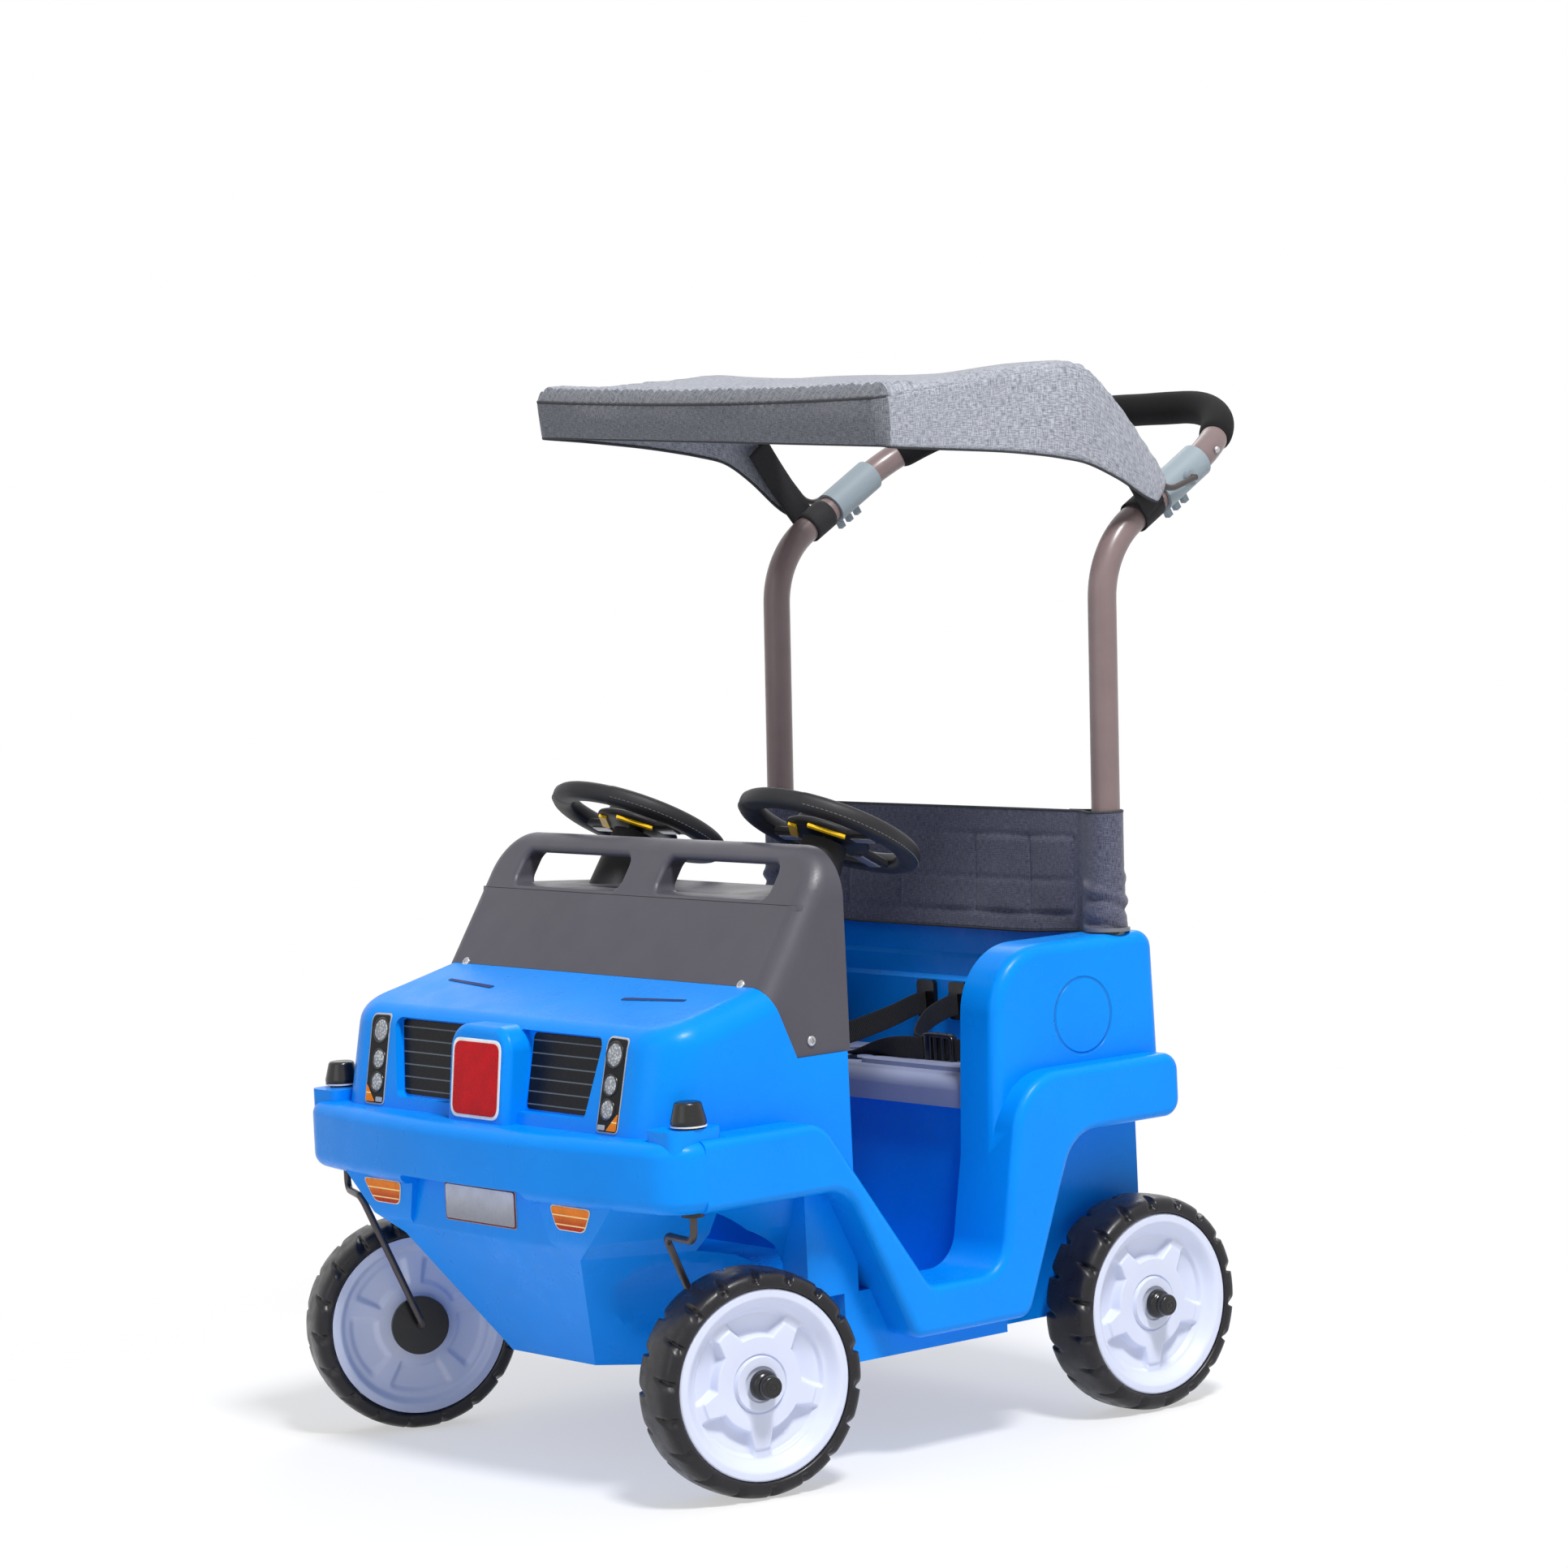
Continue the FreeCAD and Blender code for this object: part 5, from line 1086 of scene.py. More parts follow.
@dataclass
class SteeringWheel:
    """Steering wheel: padded rim with two sewn grips, three spokes with bright trims, pad, inserts, column, boot."""

    palette: Palette
    side: Side
    middle: Spot = (0.170, -0.0947, 0.668)
    tilt: float = 28.0
    radius: float = 91 * MM
    wide: float = 13 * MM
    deep: float = 11 * MM
    power: float = 2.5
    grip: float = 62.0
    stitch: float = 4.6 * MM
    stitch_at: float = -24.0
    seam_at: float = 205.0
    stitch_share: float = 0.68
    thread: float = 0.55 * MM
    spokes_at: tuple[float, float, float] = (0.0, math.pi, math.pi / 2)

    def build(self) -> None:
        """Make the rim, spokes, stitches and trims, then dress the rest."""
        word, p = self.side.word, self.palette
        body = "steering_" + word
        lean = math.radians(self.tilt)
        self.centre = self.middle * self.side.mirror
        self.axis = np.array([0.0, math.sin(lean), math.cos(lean)])
        self.low = np.array([0.0, math.cos(lean), -math.sin(lean)])
        spokes = self.bars((0.024, 0.024, 0.034), 36.0, 50.0, 4.5, box_section(1.0, 0.009, 4.0), 24, 0.30)
        trims = self.bars((0.011, 0.011, 0.020), 46.0, 30.0, 9.8, box_section(1.0, 0.0022, 6.0), 14)
        rim = piece("steering_rim_" + word + "_grip", Surface.joined(self.ring(), self.disc(), *spokes), p.matt)
        fit(rim, body, "black_plastic", "steering_rim_" + word)
        fit(piece("steering_stitches_" + word, Surface.joined(*self.stitches()), p.thread), body, "grey_plastic")
        fit(piece("steering_trims_" + word, Surface.joined(*trims), p.trim, crease=40), body, "grey_plastic")
        dress("steering_hub_" + word, p.matt, "black_plastic")
        dress("steering_inserts_" + word, p.yellow, "yellow_plastic")
        dress("steering_column_" + word, p.black, "black_plastic")
        dress("steering_boot_" + word, p.matt, "black_plastic")

    def place(self, reach: Array, angle: Array, height: Array) -> Array:
        """Points at a radius, an angle from the right-hand spoke and a height along the column."""
        return (self.centre + (reach * np.cos(angle))[..., None] * ACROSS
                + (reach * np.sin(angle))[..., None] * self.low + (height + 0.0 * angle)[..., None] * self.axis)

    def fullness(self, angle: Array) -> Array:
        """How much the rim swells at an angle: a step up on the grip at each side."""
        off = np.degrees(np.arccos(np.clip(np.abs(np.cos(angle)), 0.0, 1.0)))
        return 0.955 + 0.045 * ease(self.grip + 1.4, self.grip - 1.4, off)

    def ring(self) -> Surface:
        """Rim: a soft box turned round the column, swollen on the grips and nicked along its inner seam."""
        a = np.linspace(0.0, TURN, 241)[:, None]
        shape = box_section(2 * self.wide, 2 * self.deep, self.power, 56)
        shape = np.vstack((shape, shape[:1]))[None]
        from_seam = np.angle(np.exp(1j * (np.linspace(0.0, TURN, shape.shape[1]) - math.radians(self.seam_at))))
        full = self.fullness(a) * (1.0 - 0.06 * np.exp(-(from_seam / 0.07) ** 2))
        return Surface.lattice(self.place(self.radius + shape[..., 0] * full, a + 0 * full, shape[..., 1] * full))

    def disc(self) -> Surface:
        """Plate behind the pad: a low turned disc that the spokes run into."""
        profile = [(0.0, -9.2), (34.0, -9.2), (44.5, -8.6), (47.4, -6.6), (48.0, -4.5), (47.4, -2.2), (44.5, -0.4),
                   (34.0, -0.1), (0.0, -0.1)]
        return turned(in_mm(profile), self.centre, self.axis, 64)

    def bars(self, widths: Sequence[float], first: float, length: float, sunk: float, section: Array, steps: int,
             flare: float = 0.0) -> list[Surface]:
        """Bars along the three spokes: a section carried outwards, wider by flare (2t - 1)^4 towards its ends.

        Args:
            widths: width of each bar in metres.
            first: radius where a bar starts, in millimetres.
            length: its length in millimetres.
            sunk: its depth under the wheel's middle in millimetres.
            section: its section at a width of one.
            steps: points along it.
            flare: share that each end is wider by.

        Returns:
            The bars.
        """
        t = np.linspace(0.0, 1.0, steps)
        made = []
        for angle, width in zip(self.spokes_at, widths):
            way = math.cos(angle) * ACROSS + math.sin(angle) * self.low
            path = self.centre + MM * ((first + length * t)[:, None] * way - sunk * self.axis)
            spread = width * (1.0 + flare * (2 * t - 1) ** 4)
            shape = section[None] * np.stack((spread, np.ones_like(spread)), axis=1)[:, None]
            made.append(carried(path, shape, self.axis))
        return made

    def stitches(self) -> list[Surface]:
        """Sewn line round each grip: short threads sunk into the rim's forward shoulder."""
        pitch = self.stitch / self.radius
        half = math.radians(self.grip) - pitch
        starts = np.concatenate((np.arange(-half, half, pitch), math.pi + np.arange(-half, half, pitch)))
        c, s = (f(math.radians(self.stitch_at)) for f in (math.cos, math.sin))
        out = (abs(c) ** self.power + abs(s) ** self.power) ** (-1.0 / self.power)
        sunk = np.array([-0.5, 0.25, 0.4, 0.25, -0.5]) * MM
        reach, height = self.radius + self.wide * out * c + sunk, self.deep * out * s - sunk * 0.4
        paths = [self.place(reach, start + np.linspace(0.0, self.stitch_share * pitch, 5), height) for start in starts]
        return [carried(path, round_section(self.thread, 6), self.axis) for path in paths]


class Corner(Enum):
    """The four wheels, each with the end of the car that it stands at and its side."""

    FRONT_LEFT = ("front", Side.LEFT)
    FRONT_RIGHT = ("front", Side.RIGHT)
    REAR_LEFT = ("rear", Side.LEFT)
    REAR_RIGHT = ("rear", Side.RIGHT)


@dataclass
class Wheel:
    """A wheel: tyre with notched shoulders, dished five-arm hub and stepped axle cap, in millimetres."""

    palette: Palette
    corner: Corner
    radius: float = 120.0
    notches: int = 18
    notch_depth: float = 5.2
    notch_slant: float = 9.0
    arms: int = 5
    arm_half: float = 12.6
    arm_taper: float = 4.0
    arm_lift: float = 2.2
    flange: float = 31.0
    lip: float = 1.2
    dish: float = 13.0
    pocket: float = 9.5
    pocket_rise: float = 4.5
    boss: float = 3.2
    boss_groove: float = 2.6
    boss_cup: float = 2.2
    inner_dish: float = 9.0
    hollow: float = 4.5

    def build(self) -> None:
        """Lay the wheel on its joint and make its pieces."""
        end, side = self.corner.value
        p, word = self.palette, side.word
        body = f"{end}_wheel_{word}"
        joint = next(j for j in frame["joints"] if j["child"] == body)
        self.centre = np.array(joint["pos_m"])
        axis = unit(joint["axis"])
        self.out = axis * (1 if axis[0] * side.value > 0 else -1)
        self.along = np.cross(self.out, -UP)
        name = f"{end}_{word}"
        fit(piece(name + "_tyre_tread", self.tyre(), p.tyre), body, "tyre", name + "_tyre")
        fit(piece(name + "_hub_dish", self.hub(), p.hub, crease=52), body, "white_plastic", name + "_hub")
        self.cap(name, end, word)

    def place(self, width: Array, radius: Array, angle: Array) -> Array:
        """Points at a width, radius and angle, given in millimetres and radians."""
        spin = np.cos(angle)[..., None] * -UP + np.sin(angle)[..., None] * self.along
        return self.centre + MM * (np.asarray(width)[..., None] * self.out + np.asarray(radius)[..., None] * spin)

    def tyre(self) -> Surface:
        """Tyre: a round section, cut into at each shoulder by fin-shaped notches.

        The notch is deepest at a steep wall and ramps out behind it; it widens from the tread to the shoulder,
        and the two shoulders are half a pitch apart.

        Returns:
            The closed tyre.
        """
        half = [(28.0, 100.8), (31.4, 101.3), (33.0, 103.2), (33.4, 106.2), (33.3, 109.0), (32.0, 112.7), (28.6, 116.1),
                (22.0, 118.6), (12.0, 119.7)]
        outline = [(-w, r) for w, r in half] + [(0.0, 120.0)] + half[::-1]
        section = flowing(outline, 52)
        slope = np.gradient(section, axis=0)
        slope /= np.linalg.norm(slope, axis=1)[:, None]
        normal = np.stack((-slope[:, 1], slope[:, 0]), axis=1)
        angle = np.linspace(0.0, TURN, self.notches * 28 + 1)
        width, radius = section[:, :1], section[:, 1:]
        pitch = TURN * self.radius / self.notches
        far = np.clip((np.abs(width) - 7.0) / 26.0, 0.0, 1.0)
        hand = np.where(width > 0, 1.0, -1.0)
        phase = np.where(width > 0, 0.0, pitch / 2)
        arc = angle[None] * self.radius - phase - self.notch_slant * far ** 1.4 * hand
        arc = ((arc + pitch / 2) % pitch - pitch / 2) * hand
        open_half = 0.8 + 6.4 * far ** 1.15
        ramp = ease(0.0, 1.0, (arc + open_half - 0.4) / (2 * open_half))
        wall = ease(0.0, 1.0, (arc + open_half + 1.2) / 1.8) * (1.0 - ramp)
        depth = self.notch_depth * ease(0.0, 0.45, far) * ease(104.5, 108.5, radius) * wall
        w = width - depth * normal[:, :1]
        r = radius - depth * normal[:, 1:]
        grid = self.place(w, r, np.broadcast_to(angle[None], w.shape))
        return Surface.lattice(np.concatenate((grid, grid[:1]), axis=0))

    def off_arm(self, angle: Array) -> Array:
        """Angle from the middle of the nearest arm, either way."""
        sector = TURN / self.arms
        return np.abs((angle + sector / 2) % sector - sector / 2)

    def face(self, radius: Array, angle: Array) -> Array:
        """Height of the hub's outer face over the wheel's middle.

        A flat flange, a dish wall, a star of arms that narrow and flare again with pockets between them, and a
        ringed boss.

        Args:
            radius: distances from the axle.
            angle: angles from straight down.

        Returns:
            Heights in millimetres.
        """
        level = self.flange - self.dish * (1.0 - ease(77.0, 92.5, radius)) - self.lip * ease(98.6, 100.3, radius)
        arm = self.arm_half - self.arm_taper * ease(48.0, 70.0, radius)
        beside = radius * self.off_arm(angle) - arm
        star = np.maximum(1.0 - ease(-0.6, 1.8, beside), 1.0 - ease(49.0, 51.5, radius))
        star = star * (1.0 - ease(66.5, 69.5, radius))
        well = ease(0.4, 4.6, beside) * (1.0 - ease(73.5, 78.0, radius)) * ease(49.5, 53.5, radius)
        floor = self.pocket - self.pocket_rise * ease(54.0, 76.0, radius)
        level = level + self.arm_lift * star - floor * well
        boss = self.boss * (1.0 - ease(28.4, 29.2, radius)) - self.boss_groove * np.exp(-((radius - 30.2) / 0.8) ** 2)
        return level + boss - self.boss_cup * (1.0 - ease(18.2, 19.2, radius))

    def hub(self) -> Surface:
        """Hub: its outer face, barrel and dished inner face with five shallow hollows as one turned grid."""
        angle = np.linspace(0.0, TURN, 361)[None]
        out_r = np.concatenate((np.linspace(0.0, 42.0, 38), np.linspace(42.8, 100.2, 84)))[:, None]
        outer = self.face(out_r, angle)
        in_r = np.concatenate((np.linspace(100.2, 40.0, 46), [34.0, 30.2, 29.2, 12.0, 0.0]))[:, None]
        dish = self.inner_dish * (ease(29.2, 30.2, in_r) - ease(83.5, 91.5, in_r))
        petal = ease(0.52, 0.40, self.off_arm(angle)) * ease(44.0, 51.0, in_r) * ease(80.0, 73.0, in_r)
        inner = dish + self.hollow * petal - self.flange
        r = np.broadcast_to(np.concatenate((out_r, in_r)), (len(out_r) + len(in_r), angle.shape[1]))
        width = np.concatenate((outer, inner))
        return Surface.lattice(self.place(width, r, np.broadcast_to(angle, r.shape)))

    def cap(self, name: str, end: str, word: str) -> None:
        """Stepped black cap on the axle, with rings on its tip."""
        profile = [(0, 47.6), (2.4, 47.5), (3.0, 46.6), (3.9, 46.6), (4.5, 47.4), (6.6, 47.2), (7.2, 46.3), (8.1, 46.3),
                   (8.7, 46.9), (10.4, 46.3), (11.6, 44.8), (12.0, 42.0), (11.9, 38.0), (11.4, 36.6), (11.6, 35.8),
                   (13.0, 34.8), (14.6, 33.2), (15.6, 30.8), (16.0, 27.8), (16.0, 25.6), (6.0, 25.3)]
        surface = turned(in_mm(profile, 0.9), self.centre, self.out, 56)
        obj = piece(name + "_cap_rings", surface, self.palette.black, shell=False)
        turn_to(obj, self.out)
        node = f"front_axle_cap_{word}" if end == "front" else "rear_axle_caps"
        fit(obj, carrier(node), "black_plastic", node)


@dataclass
class Casters:
    """Rods, nuts and washers of the front casters, and the rear axle."""

    palette: Palette

    def build(self) -> None:
        """Dress the running gear with its metals and plastics."""
        p = self.palette
        finish = {"caster_rod": (p.rod, "steel"), "caster_nut": (p.black, "black_plastic"),
                  "caster_collar": (p.black, "black_plastic"), "pivot_washer": (p.washer, "white_plastic"),
                  "front_inner_disc": (p.black, "black_plastic"), "front_axle_washer": (p.steel, "steel")}
        nodes = [(f"{stem}_{side.word}", *looks) for stem, looks in finish.items() for side in Side]
        nodes += [("rear_axle", p.steel, "steel"), ("rear_axle_washers", p.steel, "steel")]
        for node, material, slot in nodes:
            dress(node, material, slot)


@dataclass
class Handle:
    """Uprights, handle loop, foam grip and canopy clamps."""

    palette: Palette
    tube: float = 16 * MM
    foam: float = 19 * MM
    foam_start: float = 54.4 * MM
    rivet: float = 58 * MM
    splice: float = 127 * MM
    foot: Spot = (0.0, 0.2013, 0.399)
    knee: Spot = (0.0, 0.2209, 0.9601)
    grip: Spot = (0.0, 0.477, 1.114)
    knee_bend: float = 105 * MM
    grip_bend: float = 125 * MM
    half_width: float = 285 * MM

    def build(self) -> None:
        """Carry round sections along the bent routes."""
        p = self.palette
        foot, knee, grip = (np.array(spot) for spot in (self.foot, self.knee, self.grip))
        side_x = self.half_width * ACROSS
        splice = grip - self.splice * HANDLE_SLOPE
        head = in_mm([(0.0, 1.9), (1.8, 1.6), (3.3, 0.8), (3.8, -0.8), (0.0, -0.8)])
        for side in Side:
            x = side.value * side_x
            route = bent([foot + x, knee + x, splice + x], self.knee_bend)
            surface = carried(route, round_section(self.tube, 36), ACROSS)
            node = "upright_tube_" + side.word
            fit(piece(node + "_round", surface, p.tube, crease=60), "chassis", "tube_paint", node)
            spot = CLAMP + self.rivet * HANDLE_SLOPE + x
            heads = [turned(head, spot + way * self.tube, way, 20) for way in (ACROSS, -ACROSS)]
            fit(piece("handle_rivet_" + side.word, Surface.joined(*heads), p.steel, crease=50), "chassis", "steel")
            dress("canopy_clamp_" + side.word, p.clamp, "clamp_plastic")
        route = bent([splice + side_x, grip + side_x, grip - side_x, splice - side_x], self.grip_bend)
        up = np.cross(HANDLE_SLOPE, ACROSS)
        fit(piece("handle_loop", carried(route, round_section(self.tube * 0.985, 36), up), p.tube, crease=60),
            "chassis", "tube_paint", "handle_tube")
        run = distances(route)
        ends = np.array([self.foam_start, run[-1] - self.foam_start])
        at = np.linspace(ends[0], ends[1], 150)
        sleeve = np.stack([np.interp(at, run, route[:, k]) for k in range(3)], axis=1)
        puff = 1.0 - 0.12 * np.exp(-(at - ends[0]) / 0.004) - 0.12 * np.exp((at - ends[1]) / 0.004)
        puff = puff + 0.006 * np.sin(at * 90.0) + 0.005 * np.sin(at * 37.0 + 1.0)
        shape = round_section(self.foam, 40)[None] * puff[:, None, None]
        fit(piece("grip_sleeve", carried(sleeve, shape, up), p.foam, crease=60), "chassis", "foam", "foam_grip")


@dataclass
class Canopy:
    """Canopy: gathered top sheet, skirt with front band and side panels, a dark cord along the front seam as painted
    shadow under the ruffle, hem, corner seams and wire.

    Its lines are given as (reach ahead of the clamps, rise over them) in millimetres.
    """

    palette: Palette
    wide: float = 320.3
    narrow: float = 305.9
    front: float = 455.9
    hump: float = 172.0
    corner: float = 13.0
    wall: float = 1.4 * MM
    roll: float = 11.0
    front_roll: float = 5.0
    dip: float = 5.5
    wire: float = 3.5 * MM
    wire_bend: float = 26 * MM
    seam_tail: float = 53.0
    hem_tail: float = 66.0
    top_tail: float = 103.0
    swell: float = 6.0
    front_swell: float = 9.0
    sag: float = 11.0
    gather: float = 3.1
    crest_line: Line = ((53, -3), (60, 11), (82, 39), (103, 67), (133, 103), (162, 130), (190, 137.5), (225, 136.5),
                        (277, 131.5), (327, 126), (370, 122), (410, 117), (455.9, 112))
    hem_line: Line = ((66, -24), (72, -23), (90, -13.5), (125, 10.5), (165, 31), (205, 40), (248, 46.5), (297, 52.2),
                      (370, 58.5), (435, 63.5), (455.9, 65.6))

    def build(self) -> None:
        """Make the wire, the cloth and its trims."""
        p = self.palette
        fit(piece("canopy_bow_wire", self.bow(), p.rod, crease=60), "canopy", "steel", "canopy_bow")
        top = piece("canopy_top", self.top(), p.canopy, shell=False)
        thicken(top, self.wall)
        grid = self.skirt_grid()
        skirt = piece("canopy_skirt", Surface.lattice(self.world(*np.moveaxis(grid, -1, 0))), p.canopy, shell=False)
        thicken(skirt, self.wall)
        fit(skirt, "canopy", "canopy_cloth", "canopy_fabric")
        fit(top, "canopy", "canopy_cloth")
        corners = [int(np.argmax(grid[0, :, 1] + k * 0.9 * grid[0, :, 0])) for k in (1, -1)]
        # The dark cord along the front seam is painted shadow: it stands for the shadow line under the top's ruffle.
        front = grid[0][grid[0, :, 1] > self.front - self.corner]
        lines = {"canopy_piping": (front, 1.9, p.binding), "canopy_hem": (grid[-1], 1.7, p.binding)}
        sides = grid[0, :, 1] < self.front - self.corner - 2
        lines |= {f"canopy_fold_{side.word}": (grid[0][sides & (grid[0, :, 0] * side.value > 0)], 1.5, p.canopy)
                  for side in Side}
        for word, column in zip(("left", "right"), corners):
            lines |= {f"canopy_corner_{word}_{k}": (grid[:, column + step], 1.3, p.canopy)
                      for k, step in enumerate((-2, 2))}
        for name, (line, thick, finish) in lines.items():
            up = (0, 0.02, 1) if "corner" not in name else (0.3, -1, 0)
            trim = piece(name, carried(self.world(*line.T), round_section(thick * MM, 14), up), finish)
            fit(trim, "canopy", "canopy_cloth")

    def world(self, x: Array, reach: Array, rise: Array) -> Array:
        """Place of a point given in millimetres by its side, reach ahead of the clamps and rise over them."""
        return np.stack((x * MM, CLAMP[1] - reach * MM, CLAMP[2] + rise * MM), axis=-1)

    def half_width(self, reach: Array) -> Array:
        """Half width of the plan at a reach, with the front corners rounded off."""
        straight = self.wide - (self.wide - self.narrow) * np.clip((reach - self.hump) / (self.front - self.hump), 0, 1)
        into = np.clip(reach - (self.front - self.corner), 0, self.corner)
        return straight - (self.corner - np.sqrt(np.clip(self.corner ** 2 - into ** 2, 0, None)))

    def crest(self, x: Array, reach: Array) -> Array:
        """Rise of the seam: up the tail to the hump and down to the front, lower on the left, dipped in the middle."""
        line = flowing(self.crest_line, 500)
        side = x / self.wide
        lean = -side * self.roll * ease(60.0, self.hump, reach)
        lean = lean * np.where(side > 0, 1.0, 0.1 + 0.9 * ease(230.0, 440.0, reach))
        dip = self.dip * (1 - side ** 2) * ease(330.0, self.front, reach)
        return np.interp(reach, line[:, 0], line[:, 1]) + lean - dip

    def hem(self, x: Array, reach: Array) -> Array:
        """Rise of the hem, lower on the left, more so at the front."""
        line = flowing(self.hem_line, 400)
        roll = self.roll * ease(60.0, self.hump, reach) + self.front_roll * ease(self.hump, self.front, reach)
        return np.interp(reach, line[:, 0], line[:, 1]) - x / self.wide * roll

    def bow(self) -> Surface:
        """Wire of the canopy: straight runs and bends from clamp to clamp round the front, with a stub in each."""
        inner, front_x = 313.4, 299.0
        tail, ahead, under = 44.0, 449.0, 7.4
        half = np.array([(inner, 0.0, 0.0), (inner, tail, -14.0), (inner, self.hump, 0.0), (front_x, ahead, 0.0)])
        line = np.vstack((half, half[::-1] * np.array([-1, 1, 1])))
        raised = line[:, 1] > tail
        line[raised, 2] = self.crest(line[raised, 0], line[raised, 1]) - under
        route = bent(self.world(*line.T), self.wire_bend)
        run, level = np.linspace(inner - 7.0, inner + 2.0, 5), np.zeros(5)
        stubs = [self.world(side.value * run, level, level) for side in Side]
        section = round_section(self.wire, 18)
        return Surface.joined(carried(route, section, (0.05, 0.3, 1)), *(carried(s, section, UP) for s in stubs))

    def plan(self, count: int) -> Array:
        """Seam in plan as (x, reach) from the left tail round the front to the right tail."""
        side = np.linspace(self.seam_tail, self.front - self.corner, 200)
        into = np.linspace(0.0, math.pi / 2, 24)
        arc_reach = self.front - self.corner + self.corner * np.sin(into)
        left = np.concatenate((np.stack((self.half_width(side), side), 1),
                               np.stack((self.half_width(arc_reach), arc_reach), 1)))
        return spaced(np.concatenate((left, left[::-1] * np.array([-1, 1]))), count)

    def skirt_grid(self) -> Array:
        """Skirt between the seam and the hem: a ruled sheet, drawn in at the front's lower edge and lightly waved.

        Returns:
            Rows from the seam to the hem of (x, reach, rise) in millimetres.
        """
        xy = self.plan(460)
        x0, reach = xy[:, 0], xy[:, 1]
        top = self.crest(x0, reach)
        drawn = (self.top_tail - self.hem_tail) / (self.top_tail - self.seam_tail)
        low_reach = np.where(reach < self.top_tail, self.hem_tail + (reach - self.seam_tail) * drawn, reach)
        low = self.hem(x0, low_reach)
        run = distances(xy)
        v = np.linspace(0.0, 1.0, 18)[:, None]
        rise = top + (low - top) * v
        into = reach + (low_reach - reach) * v
        ahead = ease(self.front - self.corner, self.front - 1, reach)
        belly = np.sin(math.pi * v) * (1.8 + 1.3 * np.sin(run / 61.0) + 0.8 * np.sin(run / 23.0 + 0.7))
        folds = np.sin(run / 2.3 + 1.6 * np.sin(run / 17.0)) * (0.5 + 0.5 * np.sin(run / 43.0))
        out = belly + 1.1 * np.exp(-v / 0.14) * folds
        x = x0 + np.sign(x0) * out * (1 - ahead)
        return np.stack((x, into + (out - 7.0 * v) * ahead, rise), axis=-1)

    def top(self) -> Surface:
        """Top sheet: swells over the seams, sags a little between the wires and is gathered along its edges."""
        reach = np.concatenate((np.linspace(self.top_tail, 404.0, 84), np.linspace(406.0, self.front, 44)))[:, None]
        near = np.linspace(0, 1, 22)
        u = np.concatenate((-1 + 0.09 * near, np.linspace(-0.905, 0.905, 280), 1 - 0.09 * near[::-1]))[None]
        x = u * self.half_width(reach)
        edge = np.minimum((1.0 - np.abs(u)) * self.wide, self.front - reach + 0.0 * u)
        full = self.swell + self.front_swell * ease(380.0, 440.0, reach)
        swell = full * (1.0 - np.exp(-edge / 6.5)) - self.sag * ease(25.0, 210.0, edge)
        fade = np.exp(-edge / 22.0) * (1.0 - np.exp(-edge / 2.0))
        front_edge = (self.front - reach) < (1.0 - np.abs(u)) * self.wide
        along = np.where(front_edge, x, 1.5 * reach + 0.0 * u)
        wander = 2.0 * np.sin(along / 19.0) + 1.5 * np.sin(along / 8.3 + 2.0)
        fold = np.sin(along / 1.75 + wander) + 0.45 * np.sin(along / 3.3 + 1.0)
        gather = self.gather * fade * fold * (0.75 + 0.25 * np.sin(along / 31.0))
        slow = 1.4 * np.sin(x / 48.0 + 0.5) * np.sin(reach / 39.0) * ease(20.0, 90.0, edge)
        rise = self.crest(x, reach + 0.0 * x) + swell + gather + slow
        return Surface.lattice(self.world(x, np.broadcast_to(reach, x.shape), rise)[:, ::-1])


@dataclass
class Strap:
    """Webbing looped round an upright and sewn to the canopy's hem."""

    palette: Palette
    side: Side
    width: float = 34 * MM
    wall: float = 1.8 * MM
    inner: float = 17.0 * MM
    bulge: float = 3 * MM
    ring_at: Spot = (0.285, 0.2876, 1.0002)
    hem_at: Spot = (0.285, 0.2170, 1.0920)
    blend_x: float = 0.302

    def build(self) -> None:
        """Make the loop and the tail as flat bands in one piece, in place of the strap node."""
        up = np.cross(ACROSS, HANDLE_SLOPE)
        ring, hem = np.array(self.ring_at), np.array(self.hem_at)
        t = np.linspace(0.0, TURN, 49)
        loop = ring + (self.inner + self.wall / 2) * (np.cos(t)[:, None] * ACROSS + np.sin(t)[:, None] * up)
        wide = np.linspace(-0.5, 0.5, 9) * self.width
        loop_grid = loop[:, None] + wide[None, :, None] * HANDLE_SLOPE
        run = unit(hem - ring)
        flat = unit(np.cross(run, ACROSS))
        s = np.linspace(0.0, 1.0, 24)[:, None]
        line = ring + s * (hem - ring) + ACROSS * (self.inner + self.wall * 1.6 + self.bulge * np.sin(math.pi * s))
        tail_grid = line[:, None] + wide[None, :, None] * flat
        surface = Surface.joined(Surface.lattice(loop_grid), Surface.lattice(tail_grid))
        if self.side is Side.RIGHT:
            surface = surface.mirrored()
        word = self.side.word
        obj = piece("canopy_strap_webbing_" + word, surface, self.palette.webbing, shell=False)
        thicken(obj, self.wall, 0.0)
        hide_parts("canopy_strap_" + word)
        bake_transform(obj)
        LOG.info("%s blends from chassis to canopy", obj.name)


